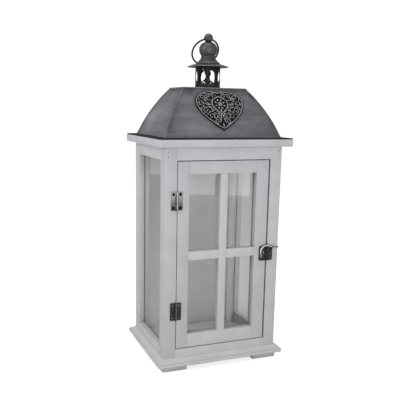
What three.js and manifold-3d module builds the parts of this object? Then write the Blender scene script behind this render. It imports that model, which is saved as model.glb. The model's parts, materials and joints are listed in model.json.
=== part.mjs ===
// Candle lantern: a glazed wooden case with a hinged door and a latch, under a
// bowed sheet-metal roof with a pierced gallery, an onion finial and a ring.
// Millimetres, +Z up, the front faces -Y, the origin is on the ground under the centre.

import * as THREE from 'three';
import { mergeVertices } from 'three/addons/utils/BufferGeometryUtils.js';
import Module from 'manifold-3d';

const wasm = await Module();
wasm.setup();

// ---------------------------------------------------------------- driving sizes

// Case
const caseWidth = 208;
const caseDepth = 166;
const frameHeight = 360;
const postWidth = 20.6;
const postDepth = 22.5;
const railHeight = 21.5;
const railThickness = 10;
const seatGap = 0.1;
const fitGap = 0.3;

// Base and feet
const footHeight = 10;
const footLength = 43.5;
const footDepth = 38;
const footInset = 7.5;
const baseThickness = 6;
const baseOverhang = 11.9;
const baseNose = 2.4;
const coveInset = 1.6;
const coveHeight = 6;

// Top board
const topThickness = 12;
const topOverhang = 13.5;
const ventRadius = 25;

// Glass and back panel
const glassThickness = 2;
const grooveDepth = 4;
const panelThickness = 3;
const panelRecess = 1;
const panelLap = 6;

// Door
const hingeGap = 1.1;
const latchGap = 3;
const doorEndGap = 1.4;
const doorThickness = 16;
const hingeStileWidth = 19.8;
const latchStileWidth = 22;
const doorTopRailHeight = 20.6;
const doorBottomRailHeight = 23;
const muntinWidth = 13;
const muntinHeight = 14.6;
const glassSetback = 11;
const rebateWidth = 5;
const stopSize = 6;

// Hinges
const hingeLength = 30;
const hingeLeafWidth = 9.6;
const hingeLeafThickness = 1.2;
const hingeBarrelRadius = 2;
const hingePinRadius = 0.8;
const hingePinProud = 1.2;
const hingeAxisInset = 0.5;
const lowerHingeHeight = 94.5;
const upperHingeHeight = 280;

// Latch
const latchHeight = 182.7;
const latchPlateThickness = 1.2;
const latchPlateHeight = 27;
const latchPlateWidth = 12.2;
const keeperWidth = 9.4;
const keeperHeight = 25;
const latchPlateInset = 0.6;
const keeperInset = 0.2;
const plateTaper = 0.8;
const latchArcRadius = 11.2;
const latchArcRaise = 2.8;
const latchArmWidth = 3;
const latchArmThickness = 2;
const latchStudRadius = 1.6;
const latchRivetRadius = 1.2;
const latchTabLength = 8.5;
const latchTabRadius = 1.6;
const latchTabTurn = 0.45;
const latchTabForward = 2.6;

// Roof
const sheetThickness = 1;
const roofFootWidth = 203;
const roofFootDepth = 157;
const flangeThickness = 1.8;
const roofRise = 78.3;
const roofInset = 44.7;
const roofBow = 4.1;
const roofLift = 0.5;
const flangeMargin = 0.8;
const capThickness = 2;
const capOverhang = 1.2;
const capLedge = 4;

// Cupola, finial and ring
const galleryRadius = 21.4;
const galleryHeight = 34.8;
const galleryWall = 1.6;
const galleryBays = 4;
const galleryFootBand = 7.5;
const galleryHeadBand = 4;
const leafHalfWidth = 2;
const archHalfWidth = 14;
const galleryTurn = THREE.MathUtils.degToRad(-27.5);
const brimRadius = 35.4;
const brimRise = 5;
const bellRadius = 21;
const bellRise = 11.6;
const neckToDome = 12.4;
const finialNeckRadius = 11.6;
const domeRadius = 15.7;
const domeTopRise = 13.2;
const domeToKnob = 18.6;
const knobRadius = 7.7;
const waistRadius = 4.4;
const ringWireRadius = 1.5;
const ringHoleClearance = 1.4;
const ringBelowKnob = 1.4;
const ringRadius = 23.8;
const ringLean = THREE.MathUtils.degToRad(33);

// Heart
const heartWidth = 86;
const heartHeight = 73.4;
const heartFoot = 11.2;
const heartThickness = 3;
const heartRim = 3.2;
const heartBar = 3;
const heartCleft = 0.94;
const dropRadius = 14.6;
const dropHeight = 0.66;

// ---------------------------------------------------------------- worked-out places

const halfWidth = caseWidth / 2;
const halfDepth = caseDepth / 2;
const baseLow = footHeight;
const frameLow = baseLow + baseThickness;
const frameHigh = frameLow + frameHeight;
const topHigh = frameHigh + topThickness;
const openingHalf = halfWidth - postWidth;
const sideOpeningHalf = halfDepth - postDepth;
const frontFace = -halfDepth;

const doorLeft = -openingHalf + hingeGap;
const doorRight = openingHalf - latchGap;
const doorLow = frameLow + railHeight + doorEndGap;
const doorHigh = frameHigh - railHeight - doorEndGap;
const paneLeft = doorLeft + hingeStileWidth;
const paneRight = doorRight - latchStileWidth;
const paneLow = doorLow + doorBottomRailHeight;
const paneHigh = doorHigh - doorTopRailHeight;
const doorBack = frontFace + doorThickness;
const shoulder = frontFace + glassSetback;
const muntinCentre = (doorLeft + doorRight) / 2;
const muntinMiddle = (paneLow + paneHigh) / 2;

const flangeLow = topHigh + seatGap;
const roofLow = flangeLow + flangeThickness + roofLift;
const roofHigh = roofLow + roofRise;
const capLow = roofHigh + seatGap;
const capHigh = capLow + capThickness;
const galleryLow = capHigh + seatGap;
const galleryHigh = galleryLow + galleryHeight;

// ---------------------------------------------------------------- finishes

const whitePaint = new THREE.MeshStandardMaterial({ color: 0xd9dadd, roughness: 0.62, metalness: 0 });
const clearGlass = new THREE.MeshStandardMaterial({
  color: 0xc6d2cb, roughness: 0.05, metalness: 0, transparent: true, opacity: 0.3,
});
const zincSheet = new THREE.MeshStandardMaterial({ color: 0x777a7e, roughness: 0.5, metalness: 0.7 });
const darkSheet = new THREE.MeshStandardMaterial({ color: 0x2c2d30, roughness: 0.55, metalness: 0.6 });
const darkCasting = new THREE.MeshStandardMaterial({ color: 0x46484c, roughness: 0.5, metalness: 0.7 });
const agedSteel = new THREE.MeshStandardMaterial({ color: 0x55534f, roughness: 0.4, metalness: 0.85 });

// ---------------------------------------------------------------- shape helpers

const lantern = new THREE.Group();

function addMesh(name, geometry, material) {
  const mesh = new THREE.Mesh(geometry, material);
  mesh.name = name;
  lantern.add(mesh);
  return mesh;
}

// A box between low and high values on each axis.
function box([x0, x1], [y0, y1], [z0, z1]) {
  const geometry = new THREE.BoxGeometry(x1 - x0, y1 - y0, z1 - z0);
  geometry.translate((x0 + x1) / 2, (y0 + y1) / 2, (z0 + z1) / 2);
  return geometry;
}

function outline(points) {
  return new THREE.Shape(points.map(([x, y]) => new THREE.Vector2(x, y)));
}

// A shape in X and Y, made solid from one height to another.
function prismZ(shape, low, high, curveSegments = 12) {
  const depth = high - low;
  const geometry = new THREE.ExtrudeGeometry(shape, { depth, bevelEnabled: false, curveSegments });
  geometry.translate(0, 0, low);
  return geometry;
}

// A shape in X and Z, made solid from the nearer Y (front) to the further Y (back).
function prismY(shape, front, back, curveSegments = 12) {
  const geometry = prismZ(shape, 0, back - front, curveSegments);
  geometry.rotateX(Math.PI / 2);
  geometry.translate(0, back, 0);
  return geometry;
}

// A closed profile of [radius, height] points turned about Z.
function turned(profile, segments = 40) {
  const points = profile.map(([r, z]) => new THREE.Vector2(r, z));
  const geometry = new THREE.LatheGeometry(points, segments);
  geometry.rotateX(Math.PI / 2);
  return geometry;
}

// A cylinder along Y, from front to back.
function rodY(radius, x, z, front, back, segments = 20) {
  const geometry = new THREE.CylinderGeometry(radius, radius, back - front, segments);
  geometry.translate(x, (front + back) / 2, z);
  return geometry;
}

// A cylinder along Z.
function rodZ(radius, x, y, low, high, segments = 20) {
  const geometry = new THREE.CylinderGeometry(radius, radius, high - low, segments);
  geometry.rotateX(Math.PI / 2);
  geometry.translate(x, y, (low + high) / 2);
  return geometry;
}

// A shape in Y and Z, made solid from left to right.
function prismX(shape, left, right) {
  const geometry = prismZ(shape, left, right);
  geometry.applyMatrix4(new THREE.Matrix4().makeBasis(
    new THREE.Vector3(0, 1, 0), new THREE.Vector3(0, 0, 1), new THREE.Vector3(1, 0, 0),
  ));
  return geometry;
}

// Turns the triangles round if they enclose the solid from the wrong side.
function facingOut(geometry) {
  const at = geometry.attributes.position;
  const index = Array.from(geometry.index.array);
  const [a, b, c] = [new THREE.Vector3(), new THREE.Vector3(), new THREE.Vector3()];
  let volume = 0;
  for (let i = 0; i < index.length; i += 3) {
    a.fromBufferAttribute(at, index[i]);
    b.fromBufferAttribute(at, index[i + 1]);
    c.fromBufferAttribute(at, index[i + 2]);
    volume += a.dot(b.cross(c));
  }
  if (volume < 0) {
    index.reverse();
  }
  geometry.setIndex(index);
  geometry.computeVertexNormals();
  return geometry;
}

// A solid through a row of rings with the same number of points; both ends are closed flat.
function loft(rings) {
  const count = rings[0].length;
  const index = [];
  for (let i = 0; i + 1 < rings.length; i += 1) {
    for (let k = 0; k < count; k += 1) {
      const next = (k + 1) % count;
      const [p, q] = [i * count + k, i * count + next];
      index.push(p, q, q + count, p, q + count, p + count);
    }
  }
  const last = (rings.length - 1) * count;
  for (let k = 1; k + 1 < count; k += 1) {
    index.push(0, k + 1, k, last, last + k, last + k + 1);
  }
  const geometry = new THREE.BufferGeometry();
  geometry.setAttribute('position', new THREE.Float32BufferAttribute(rings.flat(2), 3));
  geometry.setIndex(index);
  return facingOut(geometry);
}

function toSolid(geometry) {
  const bare = geometry.clone();
  Object.keys(bare.attributes)
    .filter((name) => name !== 'position')
    .forEach((name) => bare.deleteAttribute(name));
  const merged = mergeVertices(bare, 1e-4);
  return new wasm.Manifold(new wasm.Mesh({
    numProp: 3,
    vertProperties: new Float32Array(merged.attributes.position.array),
    triVerts: new Uint32Array(merged.index.array),
  }));
}

function toGeometry(solid) {
  const { vertProperties, triVerts } = solid.getMesh();
  const geometry = new THREE.BufferGeometry();
  geometry.setAttribute('position', new THREE.BufferAttribute(vertProperties, 3));
  geometry.setIndex(new THREE.BufferAttribute(triVerts, 1));
  geometry.computeVertexNormals();
  return geometry;
}

function join(geometries) {
  return toGeometry(geometries.map(toSolid).reduce((whole, piece) => whole.add(piece)));
}

function cut(geometry, cutters) {
  return toGeometry(cutters.map(toSolid).reduce((whole, piece) => whole.subtract(piece), toSolid(geometry)));
}

// ---------------------------------------------------------------- base and feet

// A board whose edges are rounded into a nose, built up from shrinking outlines.
function nosedBoard(width, depth, low, high, nose) {
  const steps = 6;
  const rings = [];
  for (let i = 0; i <= steps; i += 1) {
    const angle = Math.PI * (i / steps - 0.5);
    const drawn = nose * (1 - Math.cos(angle));
    const [x, y] = [width / 2 - drawn, depth / 2 - drawn];
    const z = (low + high) / 2 + ((high - low) / 2) * Math.sin(angle);
    rings.push([[-x, -y, z], [x, -y, z], [x, y, z], [-x, y, z]]);
  }
  return loft(rings);
}

// A bevelled strip along one side of the case, mitred at both ends.
function coveStrip(halfLength, face) {
  const low = frameLow + seatGap;
  const high = low + coveHeight;
  const inner = face + seatGap;
  const outer = face + baseOverhang - coveInset;
  const lip = 1;
  const section = [[inner, low], [outer, low], [outer, low + lip], [inner + lip, high], [inner, high]];
  const end = (side) => section.map(([out, z]) => [side * (halfLength + (out - face) - fitGap / 2), -out, z]);
  return loft([end(-1), end(1)]);
}

function addBase() {
  const boardWidth = caseWidth + 2 * baseOverhang;
  const boardDepth = caseDepth + 2 * baseOverhang;
  addMesh('base_board', nosedBoard(boardWidth, boardDepth, baseLow, frameLow, baseNose), whitePaint);

  const sides = [
    ['front', halfWidth, halfDepth, 0],
    ['right', halfDepth, halfWidth, Math.PI / 2],
    ['back', halfWidth, halfDepth, Math.PI],
    ['left', halfDepth, halfWidth, -Math.PI / 2],
  ];
  sides.forEach(([side, halfLength, face, turn]) => {
    addMesh(`base_cove_${side}`, coveStrip(halfLength, face), whitePaint).rotation.z = turn;
  });

  const footX = boardWidth / 2 - baseNose - footInset;
  const footY = boardDepth / 2 - baseNose - footInset;
  corners().forEach(([name, sx, sy]) => {
    const x = [sx * footX, sx * (footX - footLength)].sort((a, b) => a - b);
    const y = [sy * footY, sy * (footY - footDepth)].sort((a, b) => a - b);
    addMesh(`foot_${name}`, box(x, y, [0, footHeight - seatGap]), whitePaint);
  });
}

function corners() {
  return [['front_left', -1, -1], ['front_right', 1, -1], ['back_right', 1, 1], ['back_left', -1, 1]];
}

// ---------------------------------------------------------------- frame and glazing

const glassOuter = halfWidth - railThickness - fitGap;
const glassInner = glassOuter - glassThickness;

// A post with a groove for the side glass and, at the back, a rebate for the panel.
// Drawn for the front right post; sx and sy, each 1 or -1, put it at the other corners.
function postSection(sx, sy) {
  const x0 = openingHalf;
  const x1 = halfWidth;
  const y0 = sideOpeningHalf;
  const y1 = halfDepth;
  const grooveIn = glassInner - fitGap;
  const grooveOut = glassOuter + fitGap;
  const grooveEnd = y0 + grooveDepth;
  const points = [
    [x0, y0], [grooveIn, y0], [grooveIn, grooveEnd], [grooveOut, grooveEnd], [grooveOut, y0],
    [x1, y0], [x1, y1],
  ];
  if (sy > 0) {
    const lap = x0 + panelLap;
    const depth = y1 - panelThickness - panelRecess - fitGap;
    points.push([lap, y1], [lap, depth], [x0, depth]);
  } else {
    points.push([x0, y1]);
  }
  return outline(points.map(([x, y]) => [sx * x, sy * y]));
}

function addFrame() {
  const z = [frameLow + seatGap, frameHigh - seatGap];
  corners().forEach(([name, sx, sy]) => {
    addMesh(`post_${name}`, prismZ(postSection(sx, sy), ...z), whitePaint);
  });

  const lowRail = [z[0], frameLow + railHeight];
  const highRail = [frameHigh - railHeight, z[1]];
  const across = [-openingHalf + seatGap, openingHalf - seatGap];
  addMesh('front_bottom_rail', box(across, [frontFace, frontFace + postDepth], lowRail), whitePaint);
  addMesh('front_top_rail', box(across, [frontFace, frontFace + postDepth], highRail), whitePaint);

  const along = [-sideOpeningHalf + seatGap, sideOpeningHalf - seatGap];
  const sides = [
    ['left', [-halfWidth, railThickness - halfWidth]],
    ['right', [halfWidth - railThickness, halfWidth]],
  ];
  sides.forEach(([side, x]) => {
    addMesh(`${side}_bottom_rail`, box(x, along, lowRail), whitePaint);
    addMesh(`${side}_top_rail`, box(x, along, highRail), whitePaint);
  });
}

function addGlazing() {
  const z = [frameLow + fitGap, frameHigh - fitGap];
  const reach = sideOpeningHalf + grooveDepth - fitGap;
  addMesh('side_glass_left', box([-glassOuter, -glassInner], [-reach, reach], z), clearGlass);
  addMesh('side_glass_right', box([glassInner, glassOuter], [-reach, reach], z), clearGlass);

  const panelHalf = openingHalf + panelLap - fitGap;
  const panelBack = halfDepth - panelRecess;
  addMesh('back_panel', box([-panelHalf, panelHalf], [panelBack - panelThickness, panelBack], z), whitePaint);
}

function addTopBoard() {
  const board = box(
    [-halfWidth - topOverhang, halfWidth + topOverhang],
    [-halfDepth - topOverhang, halfDepth + topOverhang],
    [frameHigh, topHigh],
  );
  const vent = rodZ(ventRadius, 0, 0, frameHigh - 1, topHigh + 1, 32);
  addMesh('top_board', cut(board, [vent]), whitePaint);
}

// ---------------------------------------------------------------- door

// The section of a door member with a rebate for the pane along its back, as [across, depth].
// `out` is the member's outer edge and `edge` its edge at the pane.
function rebatedSection(out, edge) {
  const rebate = edge + Math.sign(out - edge) * (rebateWidth + fitGap);
  return [
    [out, frontFace], [edge, frontFace], [edge, shoulder],
    [rebate, shoulder], [rebate, doorBack], [out, doorBack],
  ];
}

function addDoor() {
  const stileZ = [doorLow, doorHigh];
  addMesh('door_hinge_stile', prismZ(outline(rebatedSection(doorLeft, paneLeft)), ...stileZ), whitePaint);
  addMesh('door_latch_stile', prismZ(outline(rebatedSection(doorRight, paneRight)), ...stileZ), whitePaint);

  const railX = [paneLeft + seatGap, paneRight - seatGap];
  const railSection = (out, edge) => (
    outline(rebatedSection(out, edge).map(([height, depth]) => [depth, height]))
  );
  addMesh('door_bottom_rail', prismX(railSection(doorLow, paneLow), ...railX), whitePaint);
  addMesh('door_top_rail', prismX(railSection(doorHigh, paneHigh), ...railX), whitePaint);

  const muntinY = [frontFace, shoulder];
  const muntinX = [muntinCentre - muntinWidth / 2, muntinCentre + muntinWidth / 2];
  const muntinZ = [muntinMiddle - muntinHeight / 2, muntinMiddle + muntinHeight / 2];
  addMesh('door_muntin_upright', box(muntinX, muntinY, [paneLow + seatGap, paneHigh - seatGap]), whitePaint);
  addMesh('door_muntin_left', box([railX[0], muntinX[0] - seatGap], muntinY, muntinZ), whitePaint);
  addMesh('door_muntin_right', box([muntinX[1] + seatGap, railX[1]], muntinY, muntinZ), whitePaint);

  const glassY = [shoulder + fitGap, shoulder + fitGap + glassThickness];
  const glassX = [paneLeft - rebateWidth, paneRight + rebateWidth];
  const glassZ = [paneLow - rebateWidth, paneHigh + rebateWidth];
  addMesh('door_glass', box(glassX, glassY, glassZ), clearGlass);

  const beadY = [glassY[1] + fitGap, doorBack];
  addMesh('door_bead_left', box([glassX[0], paneLeft], beadY, stileZ), whitePaint);
  addMesh('door_bead_right', box([paneRight, glassX[1]], beadY, stileZ), whitePaint);
  addMesh('door_bead_bottom', box(railX, beadY, [glassZ[0], paneLow]), whitePaint);
  addMesh('door_bead_top', box(railX, beadY, [paneHigh, glassZ[1]]), whitePaint);

  const stopX = [openingHalf - seatGap - stopSize, openingHalf - seatGap];
  const stopY = [doorBack + fitGap, doorBack + fitGap + stopSize];
  addMesh('door_stop', box(stopX, stopY, [doorLow, doorHigh]), whitePaint);
}

// ---------------------------------------------------------------- hinges

const hingeX = -openingHalf - hingeAxisInset;
const hingeY = frontFace - hingeBarrelRadius - fitGap;
const leafBack = frontFace - seatGap;
const leafFront = leafBack - hingeLeafThickness;

// Three barrel knuckles share the pin: the frame leaf has the outer two, the door leaf the middle one.
function hingeLeaf(side, middle, knuckles) {
  const bottom = middle - hingeLength / 2;
  const third = hingeLength / 3;
  const leafX = [hingeX, hingeX + side * hingeLeafWidth].sort((a, b) => a - b);
  const pieces = [box(leafX, [leafFront, leafBack], [bottom, bottom + hingeLength])];
  knuckles.forEach((i) => {
    const low = bottom + i * third + (i > 0 ? fitGap / 2 : 0);
    const high = bottom + (i + 1) * third - (i < 2 ? fitGap / 2 : 0);
    pieces.push(rodZ(hingeBarrelRadius, hingeX, hingeY, low, high, 24));
  });
  const whole = join(pieces);
  const cutters = [rodZ(hingePinRadius + fitGap, hingeX, hingeY, bottom - 1, bottom + hingeLength + 1, 16)];
  [0, 1, 2].filter((i) => !knuckles.includes(i)).forEach((i) => {
    const low = bottom + i * third - (i > 0 ? fitGap / 2 : 1);
    const high = bottom + (i + 1) * third + (i < 2 ? fitGap / 2 : 1);
    cutters.push(rodZ(hingeBarrelRadius + fitGap, hingeX, hingeY, low, high, 24));
  });
  const past = hingeX - side * (hingeBarrelRadius + 1);
  const behind = [past, hingeX].sort((a, b) => a - b);
  const height = [bottom - 1, bottom + hingeLength + 1];
  cutters.push(box(behind, [hingeY + hingeBarrelRadius, leafBack + 1], height));
  return cut(whole, cutters);
}

function hingePin(middle) {
  const half = hingeLength / 2;
  const cap = hingePinRadius + 0.9;
  const gap = seatGap;
  const profile = [
    [0, -half - hingePinProud], [cap * 0.7, -half - hingePinProud],
    [cap, -half - gap - 0.5], [cap, -half - gap],
    [hingePinRadius, -half - gap], [hingePinRadius, half + gap], [cap, half + gap], [cap, half + gap + 0.5],
    [cap * 0.7, half + hingePinProud], [0, half + hingePinProud],
  ];
  const geometry = turned(profile, 20);
  geometry.translate(hingeX, hingeY, middle);
  return geometry;
}

function addHinges() {
  [['lower', lowerHingeHeight], ['upper', upperHingeHeight]].forEach(([name, height]) => {
    const middle = baseLow + height;
    addMesh(`${name}_hinge_frame_leaf`, hingeLeaf(-1, middle, [0, 2]), agedSteel);
    addMesh(`${name}_hinge_door_leaf`, hingeLeaf(1, middle, [1]), agedSteel);
    addMesh(`${name}_hinge_pin`, hingePin(middle), agedSteel);
  });
}

// ---------------------------------------------------------------- latch

const plateBack = frontFace - seatGap;
const plateFront = plateBack - latchPlateThickness;
const armBack = plateFront - fitGap;
const armFront = armBack - latchArmThickness;
const latchMiddle = baseLow + latchHeight;

// The arm's arc is centred over the gap; the rivet and the stud sit below and beside it.
const arcX = openingHalf - latchGap;
const arcZ = latchMiddle + latchArcRaise;
const rivet = { x: arcX - 9.6, z: arcZ - 7.9 };
const stud = { x: openingHalf + 6.1, z: arcZ + 5.1 };

function latchPlate(x0, x1, height, taper) {
  const shape = outline([
    [x0, -height / 2 + taper], [x1, -height / 2], [x1, height / 2], [x0, height / 2 - taper],
  ]);
  const geometry = prismY(shape, plateFront, plateBack);
  geometry.translate(0, 0, latchMiddle);
  return geometry;
}

function latchArm() {
  const half = latchArmWidth / 2;
  const [start, end] = [0.32 * Math.PI, 1.25 * Math.PI];
  const arc = new THREE.Shape();
  arc.absarc(arcX, arcZ, latchArcRadius + half, start, end, false);
  arc.absarc(arcX, arcZ, latchArcRadius - half, end, start, true);

  const top = stud.z + latchStudRadius + fitGap + 3.2;
  const right = stud.x + latchStudRadius + fitGap + 1.2;
  const beak = outline([
    [stud.x - 4.5, stud.z], [right, stud.z], [right, top - 1.4], [right - 1.4, top], [stud.x - 4.5, top],
  ]);
  const tab = new THREE.CapsuleGeometry(latchTabRadius, latchTabLength, 6, 14);
  tab.rotateZ(Math.PI / 2 - latchTabTurn);
  tab.translate(right + latchTabLength / 2 - 1.5, (armFront + armBack) / 2 - latchTabForward, stud.z + 3.6);

  const pieces = [
    prismY(arc, armFront, armBack, 24),
    rodY(latchRivetRadius + 2, rivet.x, rivet.z, armFront, armBack, 24),
    prismY(beak, armFront, armBack),
    tab,
  ];
  return cut(join(pieces), [
    rodY(latchRivetRadius + fitGap, rivet.x, rivet.z, armFront - 1, armBack + 1, 20),
    rodY(latchStudRadius + fitGap, stud.x, stud.z, armFront - 4, armBack + 1, 24),
    box([stud.x - 2.5, right + 1], [armFront - 1, armBack + 1], [stud.z - 3, stud.z - 0.01]),
  ]);
}

function latchRivet() {
  const length = armBack - armFront + 2 * fitGap;
  const head = latchRivetRadius + 1.1;
  const shank = latchRivetRadius;
  const profile = [
    [0, 0], [shank, 0], [shank, length], [head, length], [head, length + 0.4], [head * 0.6, length + 0.9],
    [0, length + 1.1],
  ];
  const geometry = turned(profile, 20);
  geometry.rotateX(Math.PI / 2);
  geometry.translate(rivet.x, plateFront - seatGap, rivet.z);
  return geometry;
}

function addLatch() {
  const plateRight = doorRight - latchPlateInset;
  const doorPlate = latchPlate(plateRight - latchPlateWidth, plateRight, latchPlateHeight, plateTaper);
  addMesh('latch_door_plate', doorPlate, agedSteel);
  addMesh('latch_arm', latchArm(), agedSteel);
  addMesh('latch_rivet', latchRivet(), agedSteel);

  const keeperLeft = openingHalf + keeperInset;
  const keeper = latchPlate(keeperLeft, keeperLeft + keeperWidth, keeperHeight, -plateTaper);
  const studRod = rodY(latchStudRadius, stud.x, stud.z, armFront - 1.2, plateFront + 0.5, 20);
  addMesh('latch_keeper', join([keeper, studRod]), agedSteel);
}

// ---------------------------------------------------------------- roof

const footX = roofFootWidth / 2;
const footY = roofFootDepth / 2;

// The bowed profile every panel shares: how far it has drawn in at each height, as an arc
// through the foot and the head, and the direction straight out of the sheet.
const roofArc = (() => {
  const chord = Math.hypot(roofInset, roofRise);
  const radius = chord * chord / (8 * roofBow) + roofBow / 2;
  const alongFoot = Math.atan2(roofRise, roofInset);
  const half = Math.asin(chord / (2 * radius));
  const middle = [roofInset / 2, roofRise / 2];
  const out = [-Math.sin(alongFoot), Math.cos(alongFoot)];
  const centre = [middle[0] - out[0] * (radius - roofBow), middle[1] - out[1] * (radius - roofBow)];
  const start = Math.atan2(out[1], out[0]) + half;
  return { radius, half, centre, start };
})();

// A point of the profile, as [inset, height], at a share of its length and a distance off the sheet.
function roofPoint(share, offset) {
  const angle = roofArc.start - 2 * roofArc.half * share;
  const reach = roofArc.radius + offset;
  return [roofArc.centre[0] + reach * Math.cos(angle), roofLow + roofArc.centre[1] + reach * Math.sin(angle)];
}

// A bowed sheet on the side at `reach` from the centre, between two distances off the
// outer face. Its ends are mitred to the hips, or straight at `half` if that is given.
function bowedSheet(reach, acrossLessReach, near, far, half = null, steps = 12) {
  const rings = [];
  for (let i = 0; i <= steps; i += 1) {
    const ring = [];
    [near, far].forEach((offset, k) => {
      const [inset, z] = roofPoint(i / steps, offset);
      const out = reach - inset;
      const side = half ?? out + acrossLessReach - fitGap / 2;
      const ends = [[-side, -out, z], [side, -out, z]];
      ring.push(...(k === 0 ? ends : ends.reverse()));
    });
    rings.push(ring);
  }
  return loft(rings);
}

// A flat plate between -x and x, -y and y, with one hole.
function plate(x, y, low, high, hole) {
  return cut(box([-x, x], [-y, y], [low, high]), [hole]);
}

function addRoof() {
  const flangeX = halfWidth + topOverhang - flangeMargin;
  const flangeY = halfDepth + topOverhang - flangeMargin;
  const vent = rodZ(ventRadius, 0, 0, flangeLow - 1, flangeLow + flangeThickness + 1, 32);
  const flange = plate(flangeX, flangeY, flangeLow, flangeLow + flangeThickness, vent);
  addMesh('roof_flange', flange, darkSheet);

  const panels = [
    ['front', footY, footX, 0], ['right', footX, footY, Math.PI / 2],
    ['back', footY, footX, Math.PI], ['left', footX, footY, -Math.PI / 2],
  ];
  panels.forEach(([side, reach, across, turn]) => {
    const sheet = bowedSheet(reach, across - reach, -sheetThickness, 0);
    addMesh(`roof_panel_${side}`, sheet, zincSheet).rotation.z = turn;
  });

  const capX = footX - roofInset + capOverhang;
  const capY = footY - roofInset + capOverhang;
  const chimney = rodZ(galleryRadius - galleryWall - capLedge, 0, 0, capLow - 1, capHigh + 1, 32);
  addMesh('roof_cap', plate(capX, capY, capLow, capHigh, chimney), zincSheet);
}

// ---------------------------------------------------------------- cupola, finial and ring

// One pierced opening of the gallery: from the leaf-shaped bar in the middle of a bay out under its arch.
function galleryOpening(side) {
  const low = galleryLow + galleryFootBand;
  const high = galleryHigh - galleryHeadBand;
  const near = side * leafHalfWidth;
  const far = side * archHalfWidth;
  const shape = new THREE.Shape();
  shape.moveTo(near, high);
  shape.bezierCurveTo((near + far) / 2, high - 1, far, high - 5, far, high - 13);
  shape.quadraticCurveTo(far, low + 3, far * 0.85, low);
  shape.quadraticCurveTo((near + far) / 3, low + 3, near * 1.3, low + 8);
  shape.quadraticCurveTo(near, low + 12, near * 1.8, high - 7);
  shape.quadraticCurveTo(near * 1.5, high - 2, near, high);
  return shape;
}

function addCupola() {
  const outer = galleryRadius;
  const innerRadius = galleryRadius - galleryWall;
  const tube = turned([
    [innerRadius, galleryLow], [outer, galleryLow], [outer, galleryHigh], [innerRadius, galleryHigh],
    [innerRadius, galleryLow],
  ], 56);
  const cutters = [];
  for (let bay = 0; bay < galleryBays; bay += 1) {
    [-1, 1].forEach((side) => {
      const cutter = prismY(galleryOpening(side), -outer - 2, -innerRadius + 5, 5);
      cutter.rotateZ(galleryTurn + (bay * 2 * Math.PI) / galleryBays);
      cutters.push(cutter);
    });
  }
  addMesh('cupola_gallery', cut(tube, cutters), darkCasting);

  const brimLow = galleryHigh + seatGap;
  addMesh('cupola_brim', turned([
    [0, brimLow], [galleryRadius + 1, brimLow], [brimRadius - 0.6, brimLow - 0.4], [brimRadius, brimLow],
    [brimRadius, brimLow + 0.6], [(brimRadius + bellRadius) / 2, brimLow + 3.2],
    [bellRadius - 1, brimLow + brimRise], [0, brimLow + brimRise],
  ], 56), darkCasting);

  const bellLow = brimLow + brimRise + seatGap;
  const neckHigh = bellLow + bellRise;
  const domeMiddle = neckHigh + neckToDome;
  const knobMiddle = domeMiddle + domeToKnob;
  const profile = [
    [0, bellLow], [bellRadius, bellLow], [bellRadius, bellLow + 0.11 * bellRise],
    [0.8 * bellRadius, bellLow + 0.38 * bellRise], [0.64 * bellRadius, bellLow + 0.69 * bellRise],
    [finialNeckRadius, neckHigh - 1], [finialNeckRadius, neckHigh],
  ];
  const domeFrom = -Math.acos(finialNeckRadius / domeRadius) + 0.06;
  const domeTo = Math.acos(waistRadius / domeRadius);
  profile.push(...arcPoints(domeMiddle, domeRadius, domeTopRise, domeFrom, domeTo, 12));
  const knobFrom = -Math.acos(waistRadius / knobRadius) + 0.1;
  profile.push(...arcPoints(knobMiddle, knobRadius, knobRadius, knobFrom, Math.PI / 2, 10));
  const holeRadius = ringWireRadius + ringHoleClearance;
  const ringHole = new THREE.CylinderGeometry(holeRadius, holeRadius, 4 * knobRadius, 24);
  ringHole.rotateZ(Math.PI / 2);
  const ringPivot = knobMiddle - ringBelowKnob;
  ringHole.translate(0, 0, ringPivot);
  addMesh('finial', cut(turned(profile, 40), [ringHole]), darkCasting);

  const ring = new THREE.TorusGeometry(ringRadius, ringWireRadius, 12, 60);
  ring.rotateX(Math.PI / 2);
  ring.translate(0, 0, -ringRadius);
  const ringMesh = addMesh('ring_handle', ring, darkCasting);
  ringMesh.rotation.x = ringLean;
  ringMesh.position.z = ringPivot;
}

// Points of a ball's profile; its upper half may be flattened to `rise`, and it ends exactly on the axis.
function arcPoints(middle, radius, rise, from, to, steps) {
  const points = [];
  for (let i = 0; i <= steps; i += 1) {
    const angle = from + ((to - from) * i) / steps;
    const r = radius * Math.cos(angle);
    const height = (angle > 0 ? rise : radius) * Math.sin(angle);
    points.push([r < 1e-6 ? 0 : r, middle + height]);
  }
  return points;
}

// ---------------------------------------------------------------- heart

// Half-outline curves of a heart standing on its tip, `inset` inside the full size.
function heartShape(inset) {
  const w = heartWidth / 2 - inset;
  const tip = 1.5 * inset;
  const top = heartHeight - inset;
  const cleft = heartHeight * heartCleft - inset * 0.4;
  const shape = new THREE.Shape();
  shape.moveTo(0, tip);
  [1, -1].forEach((side) => {
    if (side > 0) {
      shape.bezierCurveTo(w * 0.45, heartHeight * 0.2, w, heartHeight * 0.42, w, heartHeight * 0.68);
      shape.bezierCurveTo(w, top, w * 0.25, top * 1.06, 0, cleft);
    } else {
      shape.bezierCurveTo(-w * 0.25, top * 1.06, -w, top, -w, heartHeight * 0.68);
      shape.bezierCurveTo(-w, heartHeight * 0.42, -w * 0.45, heartHeight * 0.2, 0, tip);
    }
  });
  return shape;
}

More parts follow.
